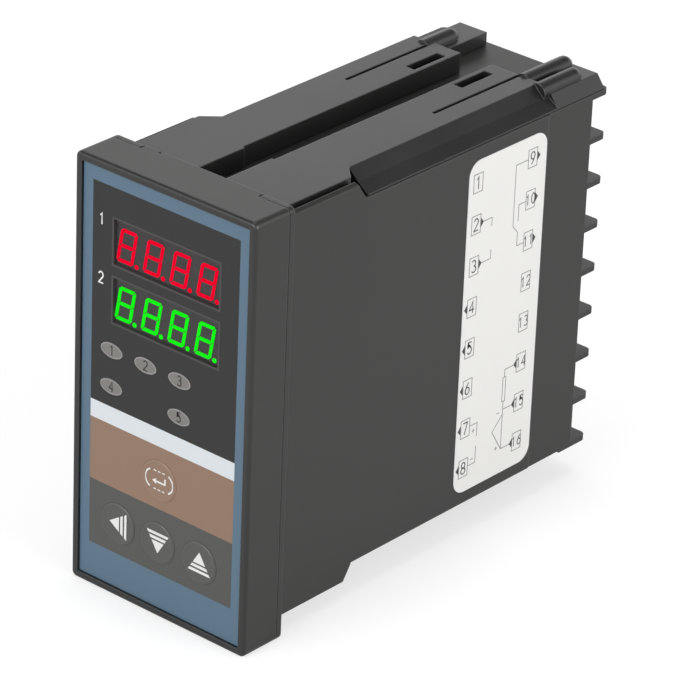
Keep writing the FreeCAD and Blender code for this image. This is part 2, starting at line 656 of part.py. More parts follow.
def digit_outlines():
    """The seven bars of an upright digit, mitred at the corners, from its lower left corner."""
    wide = DIGIT_WIDTH
    tall = DIGIT_HEIGHT
    bar = SEGMENT_WIDTH
    gap = SEGMENT_GAP / 2
    mitre = gap * math.sqrt(2)
    near = (SEGMENT_CHAMFER - mitre) / 2
    far = (SEGMENT_CHAMFER + mitre) / 2
    half = tall / 2
    top = ((SEGMENT_CHAMFER, tall), (far, tall - near), (bar + mitre, tall - bar),
           (wide - bar - mitre, tall - bar), (wide - far, tall - near), (wide - SEGMENT_CHAMFER, tall))
    side = ((0, tall - SEGMENT_CHAMFER), (0, half + gap), (bar / 2 - mitre + gap, half + gap),
            (bar, half + bar / 2 + mitre), (bar, tall - bar - mitre), (near, tall - far))
    bridge = ((bar / 2 + mitre, half), (bar + mitre, half + bar / 2), (wide - bar - mitre, half + bar / 2),
              (wide - bar / 2 - mitre, half), (wide - bar - mitre, half - bar / 2), (bar + mitre, half - bar / 2))
    outlines = [top, side, bridge]
    outlines.append([(wide - x, z) for x, z in side])
    outlines += [[(x, tall - z) for x, z in outline] for outline in (top, side, outlines[3])]
    return outlines


def digit_segments(x, z, back):
    """The seven bars and the point of one slanted digit."""
    lean = math.tan(math.radians(DIGIT_SLANT))
    solids = []
    for outline in digit_outlines():
        corners = [(x + u + lean * v, back, z + v) for u, v in outline]
        solids.append(prism(corners, (0, -SEGMENT_THICK, 0)))
    point_x = x + DIGIT_WIDTH + POINT_OFFSET
    solids.append(rod(POINT_RADIUS, point_x, z + POINT_RADIUS / 2, back - SEGMENT_THICK, back))
    return solids


def save_display(name, z, margin):
    back = FILM_Y + WINDOW_DEPTH + MODULE_GAP
    save(name + "_display", window_block(z, MODULE_CLEARANCE, back, DISPLAY_BOARD_Y))
    start = WINDOW_X - WINDOW_WIDTH / 2 + margin
    bars = []
    for count in range(DIGITS):
        bars += digit_segments(start + count * DIGIT_PITCH, z - DIGIT_HEIGHT / 2 - DIGIT_DROP, back)
    save(name + "_segments", *bars)


def indicator_led(place):
    tip = FILM_Y + LAMP_DEPTH + LED_TOP_GAP
    bar = rod(LED_RADIUS, place[0], place[1], tip + LED_RADIUS, DISPLAY_BOARD_Y)
    return joined(bar, Part.makeSphere(LED_RADIUS, Vector(place[0], tip + LED_RADIUS, place[1])))


# Boards ----------------------------------------------------------------------------------------

def display_board():
    half_x = DISPLAY_BOARD_WIDTH / 2
    half_z = DISPLAY_BOARD_HEIGHT / 2
    board = block(-half_x, half_x, DISPLAY_BOARD_Y, DISPLAY_BOARD_Y + BOARD_THICK, -half_z, half_z)
    return board.cut([rod(POST_SCREW_RADIUS + FIT_GAP, x, z, -FAR, FAR) for x, z in post_places()])


def board_screw(x, z):
    seat = DISPLAY_BOARD_Y + BOARD_THICK
    shank = rod(POST_SCREW_RADIUS, x, z, DISPLAY_BOARD_Y - POST_SCREW_REACH + FIT_GAP, seat + POST_SCREW_HEAD_THICK / 2)
    return joined(rod(POST_SCREW_HEAD, x, z, seat, seat + POST_SCREW_HEAD_THICK), shank)


def side_board(side):
    low = ROOM_BOTTOM + SIDE_BOARD_GAP
    high = ROOM_TOP - SIDE_BOARD_GAP
    inner = side * SIDE_BOARD_FACE
    outer = side * (SIDE_BOARD_FACE + BOARD_THICK)
    return block(inner, outer, SIDE_BOARD_Y, SIDE_BOARD_Y + SIDE_BOARD_LENGTH, low, high)


def rear_socket(side):
    """A row of sprung sockets on the board's rear edge, which the terminal blades enter."""
    end = CASE_LENGTH - SPIGOT_LENGTH - SOCKET_SPIGOT_GAP
    heights = terminal_heights()
    low = heights[-1] - SOCKET_END_WALL
    high = heights[0] + SOCKET_END_WALL
    inner = side * (SIDE_BOARD_FACE - SOCKET_THICK)
    body = block(inner, side * SIDE_BOARD_FACE, end - SOCKET_LENGTH, end, low, high)
    slot_x = BLADE_THICK / 2 + SOCKET_SLOT_GAP
    slot_z = BLADE_HEIGHT / 2 + SOCKET_SLOT_GAP
    floor = POCKET_Y - BLADE_REACH - SOCKET_SLOT_GAP
    slots = [block(side * BLADE_X - slot_x, side * BLADE_X + slot_x, floor, FAR, z - slot_z, z + slot_z)
             for z in heights]
    return body.cut(slots)


def board_header(side):
    start = DISPLAY_BOARD_Y + BOARD_THICK
    inner = side * (SIDE_BOARD_FACE - HEADER_THICK)
    half = HEADER_HEIGHT / 2
    return block(inner, side * SIDE_BOARD_FACE, start, start + HEADER_LENGTH, -half, half)


def transformer_parts():
    """Laminated core, wound coil through its two windows, and the pinned base on the power board."""
    foot = SIDE_BOARD_FACE - BASE_THICK
    low_x = foot - CORE_WIDTH
    core_z = ROOM_TOP - CORE_DROP
    low_z = core_z - CORE_HEIGHT / 2
    high_z = core_z + CORE_HEIGHT / 2
    end = CORE_START + CORE_STACK
    middle = CORE_MIDDLE_LEG / 2
    in_x = low_x + COIL_MARGIN
    out_x = foot - COIL_MARGIN
    window_low = block(in_x, out_x, -FAR, FAR, low_z + CORE_LEG, core_z - middle)
    window_high = block(in_x, out_x, -FAR, FAR, core_z + middle, high_z - CORE_LEG)
    core = block(low_x, foot, CORE_START, end, low_z, high_z).cut([window_low, window_high])
    gap = COIL_GAP
    coil = block(in_x + gap, out_x - gap, CORE_START - COIL_PROUD, end + COIL_PROUD,
                 low_z + CORE_LEG + gap, high_z - CORE_LEG - gap)
    coil = coil.makeFillet(1.5, edges_along(coil, Vector(1, 0, 0), lambda point: True))
    leg = block(-FAR, FAR, CORE_START - gap, end + gap, core_z - middle - gap, core_z + middle + gap)
    base = block(foot, SIDE_BOARD_FACE, CORE_START - COIL_PROUD, end + COIL_PROUD, low_z, high_z)
    return core, coil.cut(leg), base


def relay(z):
    near = SIDE_BOARD_FACE - RELAY_HEIGHT
    half = RELAY_WIDTH / 2
    body = block(near, SIDE_BOARD_FACE, RELAY_START, RELAY_START + RELAY_LENGTH, z - half, z + half)
    return body.makeFillet(RELAY_EDGE, edges_along(body, Vector(1, 0, 0), lambda point: True))


def capacitor(y, drop, radius, height):
    can = Part.makeCylinder(radius, height, Vector(SIDE_BOARD_FACE, y, ROOM_TOP - drop), Vector(-1, 0, 0))
    end = SIDE_BOARD_FACE - height
    rim = [edge for edge in can.Edges if abs(edge.CenterOfMass.x - end) < 1e-3]
    return can.makeFillet(CAPACITOR_EDGE, rim)


def logic_chip(y, length, z, width):
    face = -SIDE_BOARD_FACE
    return block(face, face + CHIP_HEIGHT, y, y + length, z - width / 2, z + width / 2)


def save_boards():
    save("display_board", display_board())
    save("board_screws", *[board_screw(x, z) for x, z in post_places()])
    save("indicator_leds", *[indicator_led(place) for place in lamp_places()])
    save("power_board", side_board(1))
    save("control_board", side_board(-1))
    save("rear_sockets", rear_socket(-1), rear_socket(1))
    save("board_headers", board_header(-1), board_header(1))
    core, coil, base = transformer_parts()
    save("transformer_core", core)
    save("transformer_coil", coil)
    save("transformer_base", base)
    save("relays", *[relay(ROOM_BOTTOM + RELAY_RISE + RELAY_PITCH * count) for count in range(2)])
    save("capacitors", *[capacitor(*values) for values in CAPACITORS])
    save("logic_chips", *[logic_chip(*values) for values in CHIPS])


# Label -----------------------------------------------------------------------------------------

def side_label():
    end = LABEL_START + LABEL_WIDTH
    card = block(CASE_HALF, CASE_HALF + LABEL_THICK, LABEL_START, end, BODY_BOTTOM + LABEL_EDGE, BODY_TOP - LABEL_EDGE)
    return card.makeFillet(LABEL_CORNER, edges_along(card, Vector(1, 0, 0), lambda point: True))


def main():
    os.makedirs("parts", exist_ok=True)
    save("case_shell", case_shell())
    save("terminal_block", terminal_block())
    save_terminals()
    save("mounting_bracket", mounting_bracket())
    save("side_label", side_label())
    save_front()
    save_display("upper", UPPER_WINDOW_Z, UPPER_DIGIT_MARGIN)
    save_display("lower", LOWER_WINDOW_Z, LOWER_DIGIT_MARGIN)
    save_boards()


main()
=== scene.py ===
"""Looks of a panel-mounted temperature controller, laid out as an add-on and run as a script."""

import math

import bmesh
import bpy
from bpy.props import FloatProperty, FloatVectorProperty, IntProperty, PointerProperty
from mathutils import Matrix, Vector


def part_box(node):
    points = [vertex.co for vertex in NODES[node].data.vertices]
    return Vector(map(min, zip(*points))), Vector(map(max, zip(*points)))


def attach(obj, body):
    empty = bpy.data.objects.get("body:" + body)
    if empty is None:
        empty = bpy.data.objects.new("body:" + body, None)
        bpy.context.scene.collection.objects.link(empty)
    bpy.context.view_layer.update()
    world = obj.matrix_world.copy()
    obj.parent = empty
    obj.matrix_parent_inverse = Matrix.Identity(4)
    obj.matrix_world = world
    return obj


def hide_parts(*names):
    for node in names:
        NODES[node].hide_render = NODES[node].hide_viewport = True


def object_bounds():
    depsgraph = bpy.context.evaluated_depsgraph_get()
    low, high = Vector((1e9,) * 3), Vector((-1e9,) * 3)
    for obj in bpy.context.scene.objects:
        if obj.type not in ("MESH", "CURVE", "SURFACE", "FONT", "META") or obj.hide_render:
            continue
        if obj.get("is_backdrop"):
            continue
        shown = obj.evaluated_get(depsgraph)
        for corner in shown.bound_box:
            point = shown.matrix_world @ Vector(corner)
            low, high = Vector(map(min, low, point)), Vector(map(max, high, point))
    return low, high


bl_info = {
    "name": "Panel temperature controller",
    "version": (1, 0, 0),
    "blender": (4, 5, 0),
    "location": "3D View > Sidebar > Controller",
    "description": "Dresses the solid model of a panel temperature controller",
    "category": "Object",
}

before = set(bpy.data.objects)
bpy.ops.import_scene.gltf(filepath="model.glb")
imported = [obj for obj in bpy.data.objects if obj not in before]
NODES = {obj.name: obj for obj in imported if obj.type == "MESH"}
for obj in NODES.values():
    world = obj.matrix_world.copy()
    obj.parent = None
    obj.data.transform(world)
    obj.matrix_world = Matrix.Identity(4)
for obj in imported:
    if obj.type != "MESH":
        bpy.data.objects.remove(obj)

# Places of flat drawings: the face seen from the front, and the side of the case seen from the right.
MM = 0.001
FACE_PLANE = Matrix(((MM, 0, 0, 0), (0, 0, -MM, 0), (0, MM, 0, 0), (0, 0, 0, 1)))
SIDE_PLANE = Matrix(((0, 0, MM, 0), (MM, 0, 0, 0), (0, MM, 0, 0), (0, 0, 0, 1)))

# Turns of a grid of copies.
UPRIGHT = (math.pi / 2, 0, 0)
SIDEWAYS = (0, math.pi / 2, 0)

# Prints, in millimetres: how deep they are sunk into the surface under them, and how far they stand out.
SUNK = 0.01
RAISED = 0.03

WINDOW_HALF_WIDTH = 14.4
WINDOW_HALF_HEIGHT = 5.2

CAMERA_PLACE = (0.54708, -0.60180, 0.42404)
CAMERA_AIM = (-0.577198, 0.679957, -0.452217)

BLACK = (0, 0, 0, 1)
WHITE = (1, 1, 1, 1)


# Helpers for meshes ----------------------------------------------------------------------------

def corners(node):
    """Lowest and highest corner of a solid, in millimetres."""
    low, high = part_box(node)
    return low / MM, high / MM


def middle(node):
    low, high = corners(node)
    return (low + high) / 2


def solids(name):
    """Corners of each separate solid of a node, in millimetres."""
    bm = bmesh.new()
    bm.from_mesh(NODES[name].data)
    bm.transform(NODES[name].matrix_world)
    bmesh.ops.remove_doubles(bm, verts=bm.verts, dist=1e-6)
    found, seen = [], set()
    for first in bm.verts:
        if first in seen:
            continue
        seen.add(first)
        group, queue = [], [first]
        while queue:
            vert = queue.pop()
            group.append(vert.co / MM)
            for edge in vert.link_edges:
                other = edge.other_vert(vert)
                if other not in seen:
                    seen.add(other)
                    queue.append(other)
        found.append((Vector([min(point[i] for point in group) for i in range(3)]),
                      Vector([max(point[i] for point in group) for i in range(3)])))
    bm.free()
    return found


def slab(bm, points, low, high):
    """A flat shape with a thickness, from a counter-clockwise outline."""
    count = len(points)
    floor = [bm.verts.new((x, y, low)) for x, y in points]
    roof = [bm.verts.new((x, y, high)) for x, y in points]
    bm.faces.new(floor[::-1])
    bm.faces.new(roof)
    for i in range(count):
        j = (i + 1) % count
        bm.faces.new((floor[i], floor[j], roof[j], roof[i]))


def band(bm, outer, inner, low, high):
    """A flat frame between two outlines with as many points each."""
    count = len(outer)
    rows = [[bm.verts.new((x, y, z)) for x, y in ring] for ring, z in
            ((outer, low), (outer, high), (inner, high), (inner, low))]
    for i in range(count):
        j = (i + 1) % count
        for a, b in ((0, 1), (1, 2), (2, 3), (3, 0)):
            bm.faces.new((rows[a][i], rows[a][j], rows[b][j], rows[b][i]))


def ellipse(x, y, half_x, half_y, count=48, start=0.0, end=math.tau):
    """Points of an ellipse, or of a stretch of it that has both its ends."""
    full = abs(end - start - math.tau) < 1e-6
    steps = count if full else count - 1
    angles = [start + (end - start) * i / steps for i in range(count)]
    return [(x + half_x * math.cos(a), y + half_y * math.sin(a)) for a in angles]


def rectangle(x, y, half_x, half_y):
    left, right, bottom, top = x - half_x, x + half_x, y - half_y, y + half_y
    return [(left, bottom), (right, bottom), (right, top), (left, top)]


def arc(x, y, half_x, half_y, start, end, count=14):
    return ellipse(x, y, half_x, half_y, count, math.radians(start), math.radians(end))


def figure_lines():
    """The lines of each figure in a box one wide and one high."""
    return {
        "0": [(True, ellipse(0.5, 0.5, 0.42, 0.5, 24))],
        "1": [(False, [(0.24, 0.78), (0.56, 1.0), (0.56, 0.0)])],
        "2": [(False, arc(0.5, 0.72, 0.42, 0.28, 165, -35) + [(0.06, 0.0), (0.96, 0.0)])],
        "3": [(False, arc(0.46, 0.76, 0.38, 0.24, 150, -90)),
              (False, arc(0.46, 0.26, 0.44, 0.26, 90, -150))],
        "4": [(False, [(0.72, 0.0), (0.72, 1.0), (0.02, 0.3), (1.0, 0.3)])],
        "5": [(False, [(0.88, 1.0), (0.2, 1.0), (0.14, 0.56)] + arc(0.48, 0.32, 0.42, 0.32, 125, -150))],
        "6": [(True, ellipse(0.5, 0.3, 0.42, 0.3, 24)), (False, [(0.72, 1.0), (0.34, 0.72), (0.1, 0.34)])],
        "7": [(False, [(0.04, 1.0), (0.94, 1.0), (0.36, 0.0)])],
        "8": [(True, ellipse(0.5, 0.75, 0.36, 0.25, 24)), (True, ellipse(0.5, 0.26, 0.44, 0.26, 24))],
        "9": [(True, ellipse(0.5, 0.7, 0.42, 0.3, 24)), (False, [(0.9, 0.66), (0.66, 0.28), (0.28, 0.0)])],
    }


def ribbon(bm, points, width, low, high, closed=False):
    """A printed line of even width along a row of points."""
    points = [Vector(point) for point in points]
    count = len(points)
    left, right = [], []
    for i, point in enumerate(points):
        before = points[i - 1] if i or closed else None
        after = points[(i + 1) % count] if i < count - 1 or closed else None
        runs = [(b - a).normalized() for a, b in ((before, point), (point, after))
                if a is not None and b is not None]
        along = sum(runs, Vector((0, 0))).normalized()
        side = Vector((-along.y, along.x))
        reach = width / 2 / max(0.5, abs(side.dot(Vector((-runs[0].y, runs[0].x)))))
        left.append(point + side * reach)
        right.append(point - side * reach)
    if closed:
        band(bm, left, right, low, high)
    else:
        slab(bm, right + left[::-1], low, high)


def lettering(bm, text, height, x, y, low, high, weight=0.12):
    """Plain figures centred on a place."""
    wide, step = 0.56 * height, 0.78 * height
    start = x - (step * (len(text) - 1) + wide) / 2
    lines = figure_lines()
    for place, letter in enumerate(text):
        for closed, points in lines[letter]:
            moved = [(start + place * step + u * wide, y - height / 2 + v * height) for u, v in points]
            ribbon(bm, moved, weight * height, low, high, closed)


def lathe(bm, x, y, profile, count=64):
    """A round body from (radius, height) pairs, closed at both ends on its axis."""
    rings = []
    for radius, height in profile:
        if radius == 0:
            rings.append([bm.verts.new((x, y, height))])
        else:
            rings.append([bm.verts.new((px, py, height)) for px, py in ellipse(x, y, radius, radius, count)])
    for one, two in zip(rings, rings[1:]):
        for i in range(count):
            j = (i + 1) % count
            if len(one) == 1:
                bm.faces.new((one[0], two[i], two[j]))
            elif len(two) == 1:
                bm.faces.new((one[i], two[0], one[j]))
            else:
                bm.faces.new((one[i], two[i], two[j], one[j]))


def drawn(name, bm, transform):
    """The mesh of a finished drawing, with its points moved into place."""
    bmesh.ops.remove_doubles(bm, verts=bm.verts, dist=1e-5)
    bmesh.ops.recalc_face_normals(bm, faces=bm.faces)
    mesh = bpy.data.meshes.new(name)
    bm.to_mesh(mesh)
    bm.free()
    mesh.transform(transform)
    return mesh


def piece(name, bm, plane, body, material, smooth=None):
    """Puts a drawing in place, names its slot and lets it ride on its body."""
    return settle(name, drawn(name, bm, plane), body, material, smooth)


def settle(name, mesh, body, material, smooth=None):
    """Links a mesh whose place is already in its points."""
    mesh.materials.clear()
    mesh.materials.append(material)
    obj = bpy.data.objects.new(name, mesh)
    bpy.context.scene.collection.objects.link(obj)
    if smooth is not None:
        mesh.shade_smooth()
        mesh.set_sharp_from_angle(angle=math.radians(smooth))
    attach(obj, body)
    return obj


def dress(names, material):
    """Gives solids of the frame a finish of their own."""
    for name in names:
        mesh = NODES[name].data
        mesh.materials.clear()
        mesh.materials.append(material)
        for polygon in mesh.polygons:
            polygon.material_index = 0


# Helpers for node trees ------------------------------------------------------------------------

def feed(made, inputs):
    """Gives each input of a node its value, or links it where the value is another node's output."""
    for label, value in inputs.items():
        if isinstance(value, bpy.types.NodeSocket):
            made.id_data.links.new(value, made.inputs[label])
        else:
            made.inputs[label].default_value = value


def node(tree, kind, place, inputs=None, **settings):
    """Adds a node; its settings come first, since they decide which inputs it has."""
    made = tree.nodes.new(kind)
    made.location = place
    for key, value in settings.items():
        setattr(made, key, value)
    feed(made, inputs or {})
    return made


def new_group(name, kind, inputs, outputs):
    """An empty node group with its inputs and outputs, each a label and a kind."""
    tree = bpy.data.node_groups.new(name, kind)
    for way, sockets in (("INPUT", inputs), ("OUTPUT", outputs)):
        for label, socket_kind in sockets:
            tree.interface.new_socket(name=label, in_out=way, socket_type="NodeSocket" + socket_kind)
    return tree


def copies_tree():
    """A node tree that sets copies of a part on a grid of places and gives them one material."""
    name = "Grid of copies"
    if name in bpy.data.node_groups:
        return bpy.data.node_groups[name]
    tree = new_group(name, "GeometryNodeTree",
                     (("Geometry", "Geometry"), ("Part", "Object"), ("Columns", "Int"), ("Rows", "Int"),
                      ("Width", "Float"), ("Height", "Float"), ("Turn", "Rotation"), ("Centre", "Vector"),
                      ("Material", "Material")),
                     (("Geometry", "Geometry"),))
    tree.is_modifier = True
    given = node(tree, "NodeGroupInput", (-900, 0)).outputs
    grid = node(tree, "GeometryNodeMeshGrid", (-650, 0), {
        "Size X": given["Width"], "Size Y": given["Height"],
        "Vertices X": given["Columns"], "Vertices Y": given["Rows"]})
    place = node(tree, "GeometryNodeTransform", (-400, 0), {
        "Geometry": grid.outputs["Mesh"], "Rotation": given["Turn"], "Translation": given["Centre"]})
    part = node(tree, "GeometryNodeObjectInfo", (-400, -300), {"Object": given["Part"]})
    spread = node(tree, "GeometryNodeInstanceOnPoints", (-150, 0), {
        "Points": place.outputs["Geometry"], "Instance": part.outputs["Geometry"]})
    real = node(tree, "GeometryNodeRealizeInstances", (100, 0), {"Geometry": spread.outputs["Instances"]})
    paint = node(tree, "GeometryNodeSetMaterial", (350, 0), {
        "Geometry": real.outputs["Geometry"], "Material": given["Material"]})
    node(tree, "NodeGroupOutput", (600, 0), {"Geometry": paint.outputs["Geometry"]})
    return tree


def copies(name, bm, columns, rows, width, height, centre, turn, body, material, smooth=None):
    """Repeats a small part, drawn in millimetres about zero, over a grid; sizes and centre in millimetres."""
    part = bpy.data.objects.new(name + "_part", drawn(name + "_part", bm, Matrix.Scale(MM, 4)))
    holder = bpy.data.objects.new(name + "_grid", bpy.data.meshes.new(name + "_grid"))
    for obj in (part, holder):
        bpy.context.scene.collection.objects.link(obj)
    tree = copies_tree()
    modifier = holder.modifiers.new("Copies", "NODES")
    modifier.node_group = tree
    sockets = {item.name: item.identifier for item in tree.interface.items_tree if item.in_out == "INPUT"}
    values = {"Part": part, "Columns": columns, "Rows": rows, "Width": width * MM, "Height": height * MM,
              "Turn": turn, "Centre": [value * MM for value in centre], "Material": material}
    for label, value in values.items():
        modifier[sockets[label]] = value
    bpy.context.view_layer.update()
    shaped = holder.evaluated_get(bpy.context.evaluated_depsgraph_get())
    result = bpy.data.meshes.new_from_object(shaped)
    if not result.vertices:
        raise RuntimeError("no copies were made for " + name)
    bpy.data.objects.remove(holder)
    bpy.data.objects.remove(part)
    return settle(name, result, body, material, smooth)


# Helpers for finishes --------------------------------------------------------------------------

def blank(name):
    """A new material and its shader node."""
    material = bpy.data.materials.new(name)
    material.use_nodes = True
    return material, material.node_tree.nodes["Principled BSDF"]


def texture(tree, kind, inputs, **settings):
    """The strength of a texture laid over the object's own coordinates."""
    coords = node(tree, "ShaderNodeTexCoord", (-1100, 0))
    return node(tree, kind, (-850, 0), {"Vector": coords.outputs["Object"], **inputs}, **settings).outputs["Fac"]


def emboss(shader, height, strength, distance):
    """Lets a texture raise the surface."""
    bump = node(shader.id_data, "ShaderNodeBump", (-300, -200), {
        "Height": height, "Strength": strength, "Distance": distance})
    feed(shader, {"Normal": bump.outputs["Normal"]})


def step_mask(tree, value, limit, above):
    """One where a coordinate is past a limit, which is given in thousandths of the coordinate's unit."""
    operation = "GREATER_THAN" if above else "LESS_THAN"
    return node(tree, "ShaderNodeMath", (0, 0), {0: value, 1: limit * MM}, operation=operation).outputs["Value"]


def product(tree, *values):
    result = values[0]
    for value in values[1:]:
        both = node(tree, "ShaderNodeMath", (200, 0), {0: result, 1: value}, operation="MULTIPLY")
        result = both.outputs["Value"]
    return result


def mould_group():
    """Fine spark-eroded grain, soft edges lightened by a painted highlight, and faint unevenness of moulded
    plastic.
    """
    name = "Moulded surface"
    if name in bpy.data.node_groups:
        return bpy.data.node_groups[name]
    tree = new_group(name, "ShaderNodeTree",
                     (("Base", "Color"), ("Grain", "Float"), ("Depth", "Float"), ("Roughness", "Float"),
                      ("Edge highlight", "Float")),
                     (("Color", "Color"), ("Roughness", "Float"), ("Normal", "Vector")))
    given = node(tree, "NodeGroupInput", (-900, 0)).outputs
    coords = node(tree, "ShaderNodeTexCoord", (-900, -300)).outputs["Object"]
    fine = node(tree, "ShaderNodeTexNoise", (-650, -200), {
        "Vector": coords, "Scale": given["Grain"], "Detail": 2.0})
    broad = node(tree, "ShaderNodeTexNoise", (-650, -500), {"Vector": coords, "Scale": 35.0, "Detail": 4.0})
    bevel = node(tree, "ShaderNodeBevel", (-650, 250), {"Radius": 0.00035}, samples=4).outputs["Normal"]
    bump = node(tree, "ShaderNodeBump", (-200, 100), {
        "Height": fine.outputs["Fac"], "Normal": bevel, "Strength": given["Depth"], "Distance": 0.00006})
    geometry = node(tree, "ShaderNodeNewGeometry", (-650, 450))
    dot = node(tree, "ShaderNodeVectorMath", (-400, 400), {0: bevel, 1: geometry.outputs["Normal"]},
               operation="DOT_PRODUCT")
    edge = node(tree, "ShaderNodeMapRange", (-200, 400), {
        "Value": dot.outputs["Value"], "From Min": 0.98, "From Max": 0.80})
    # Painted highlight: along the edges, where the rounded normal turns away from the true one, the colour is
    # screened towards grey.
    edge_highlight_share = product(tree, edge.outputs["Result"], given["Edge highlight"])
    uneven = node(tree, "ShaderNodeMapRange", (-400, -500), {
        "Value": broad.outputs["Fac"], "From Min": 0.3, "From Max": 0.7,
        "To Min": 0.93, "To Max": 1.07}).outputs["Result"]
    shade = node(tree, "ShaderNodeVectorMath", (0, 150), {0: given["Base"], "Scale": uneven}, operation="SCALE")
    edge_highlighted = node(tree, "ShaderNodeMix", (300, 250), {
        "Factor": edge_highlight_share, "A": shade.outputs["Vector"], "B": (0.25, 0.25, 0.25, 1)},
        data_type="RGBA", blend_type="SCREEN")
    node(tree, "NodeGroupOutput", (900, 0), {
        "Color": edge_highlighted.outputs["Result"], "Roughness": product(tree, given["Roughness"], uneven),
        "Normal": bump.outputs["Normal"]})
    return tree


def moulded(name, color, roughness, grain=2600.0, depth=0.2, edge=0.25):
    """A moulded plastic in one colour; edge sets the strength of the painted highlight along its edges."""
    material, shader = blank(name)
    surface = node(material.node_tree, "ShaderNodeGroup", (-300, 0), {
        "Base": (*color, 1), "Grain": grain, "Depth": depth, "Roughness": roughness, "Edge highlight": edge},
        node_tree=mould_group()).outputs
    feed(shader, {"Base Color": surface["Color"], "Roughness": surface["Roughness"],
                  "Normal": surface["Normal"]})
    return material


def plain(name, color, roughness=0.5, metallic=0.0, bump=0.0, scale=1500.0):
    """A simple surface with a faint texture of its own."""
    material, shader = blank(name)
    tree = material.node_tree
    noise = texture(tree, "ShaderNodeTexNoise", {"Scale": scale})
    spread = node(tree, "ShaderNodeMapRange", (-500, 0), {
        "Value": noise, "To Min": roughness * 0.85, "To Max": min(1.0, roughness * 1.15)})
    feed(shader, {"Base Color": (*color, 1), "Metallic": metallic, "Roughness": spread.outputs["Result"]})
    if bump:
        emboss(shader, noise, bump, 0.00004)
    return material


def circuit(name, mask, track):
    """The colour of tracks under solder mask, parted by hairlines of the mask alone."""
    material, shader = blank(name)
    tree = material.node_tree
    runs = texture(tree, "ShaderNodeTexWave", {"Scale": 124.0}, bands_direction="Z")
    patches = texture(tree, "ShaderNodeTexNoise", {"Scale": 90.0, "Detail": 0.0})
    copper = product(tree, step_mask(tree, runs, 0.72, True), step_mask(tree, patches, 0.47, True))
    mix = node(tree, "ShaderNodeMix", (-300, 100), {
        "Factor": copper, "A": (*mask, 1), "B": (*track, 1)}, data_type="RGBA")
    feed(shader, {"Base Color": mix.outputs["Result"], "Roughness": 0.32})
    emboss(shader, copper, 0.5, 0.00004)
    return material


def laminated(name, color):
    """Steel built up of thin sheets."""
    material, shader = blank(name)
    tree = material.node_tree
    sheets = texture(tree, "ShaderNodeTexWave", {"Scale": 628.0}, bands_direction="Y", wave_profile="SAW")
    mix = node(tree, "ShaderNodeMix", (-400, 100), {
        "Factor": sheets, "A": (*[part * 0.45 for part in color], 1), "B": (*color, 1)}, data_type="RGBA")
    feed(shader, {"Base Color": mix.outputs["Result"], "Metallic": 0.8, "Roughness": 0.42})
    emboss(shader, sheets, 0.6, 0.0001)
    return material


# Settings --------------------------------------------------------------------------------------

def colour(name, description, value):
    return FloatVectorProperty(name=name, description=description, default=value, subtype="COLOR",
                               size=3, min=0, max=1)


def measure(name, description, value, **limits):
    return FloatProperty(name=name, description=description, default=value, **limits)


class ControllerPlastics(bpy.types.PropertyGroup):
    housing: colour("Housing", "Colour of the housing, bezel and rear block", (0.0155, 0.0155, 0.0148))
    bracket: colour("Bracket", "Colour of the sliding bracket", (0.0115, 0.0115, 0.0112))
    roughness: measure("Roughness", "How matt the mouldings are", 0.38, min=0, max=1)
    grain: measure("Grain", "Fineness of the moulded grain, per metre", 2600.0)
    depth: measure("Grain depth", "Strength of the moulded grain", 0.25, min=0, max=1)


class ControllerFace(bpy.types.PropertyGroup):
    border: colour("Border", "Blue of the film's border", (0.094, 0.160, 0.226))
    panel: colour("Panel", "Dark field around the displays", (0.012, 0.012, 0.012))
    stripe: colour("Stripe", "White dividing stripe", (0.68, 0.72, 0.75))
    brown: colour("Brown", "Band behind the upper key", (0.262, 0.165, 0.113))
    grey: colour("Grey", "Band behind the arrow keys", (0.075, 0.075, 0.072))
    ink: colour("Ink", "White of figures and glyphs", (0.80, 0.80, 0.79))
    line: colour("Window line", "Thin line around each window", (0.055, 0.054, 0.058))
    half_width: measure("Half width", "Half width of the printed bands, mm", 19.6)
    panel_top: measure("Panel top", "Height of the dark field's top above the middle, mm", 42.95)
    stripe_top: measure("Stripe top", "Top of the white stripe, mm", -5.5)
    brown_top: measure("Brown top", "Top of the brown band, mm", -9.5)
    grey_top: measure("Grey top", "Top of the grey band, mm", -23.6)
    grey_bottom: measure("Grey bottom", "Bottom of the grey band, mm", -38.4)


class ControllerLights(bpy.types.PropertyGroup):
    red: colour("Red", "Lit upper digits", (0.90, 0.0, 0.026))
    green: colour("Green", "Lit lower digits", (0.006, 0.95, 0.008))
    strength: measure("Glow", "Strength of the lit digits", 1.0, min=0)
    module: colour("Module", "Dark face of a display module", (0.022, 0.019, 0.020))
    # Painted light: the frame round each display glows of itself, lifting the shade on the window's walls.
    spill: measure("Spill", "Glow of the lit digits on the frame around them", 0.016)
    lens: colour("Lens", "Frosted indicator lenses", (0.190, 0.180, 0.170))
    rim: colour("Lens rim", "Paler edge of each lens", (0.300, 0.295, 0.285))


class ControllerLabel(bpy.types.PropertyGroup):
    card: colour("Card", "Label card", (0.78, 0.775, 0.755))
    ink: colour("Ink", "Figures and pointers", (0.03, 0.03, 0.035))
    line_ink: colour("Line ink", "Boxes and wiring lines", (0.20, 0.20, 0.20))
    line: measure("Line", "Width of a printed line, mm", 0.17)
    rows: IntProperty(name="Rows", description="Boxed figures in each column", default=8, min=1)
    pitch: measure("Pitch", "Distance between boxed figures, mm", 9.36)


class ControllerTerminals(bpy.types.PropertyGroup):
    screw: colour("Screw", "Zinc-plated screws and washers", (0.55, 0.55, 0.53))
    contact: colour("Contact", "Brass contacts", (0.60, 0.46, 0.19))
    head: measure("Head radius", "Radius of a screw's head, mm", 3.2)
    washer: measure("Washer", "Width of a square washer, mm", 7.2)
    rows: IntProperty(name="Rows", description="Screws in each column", default=8, min=1)


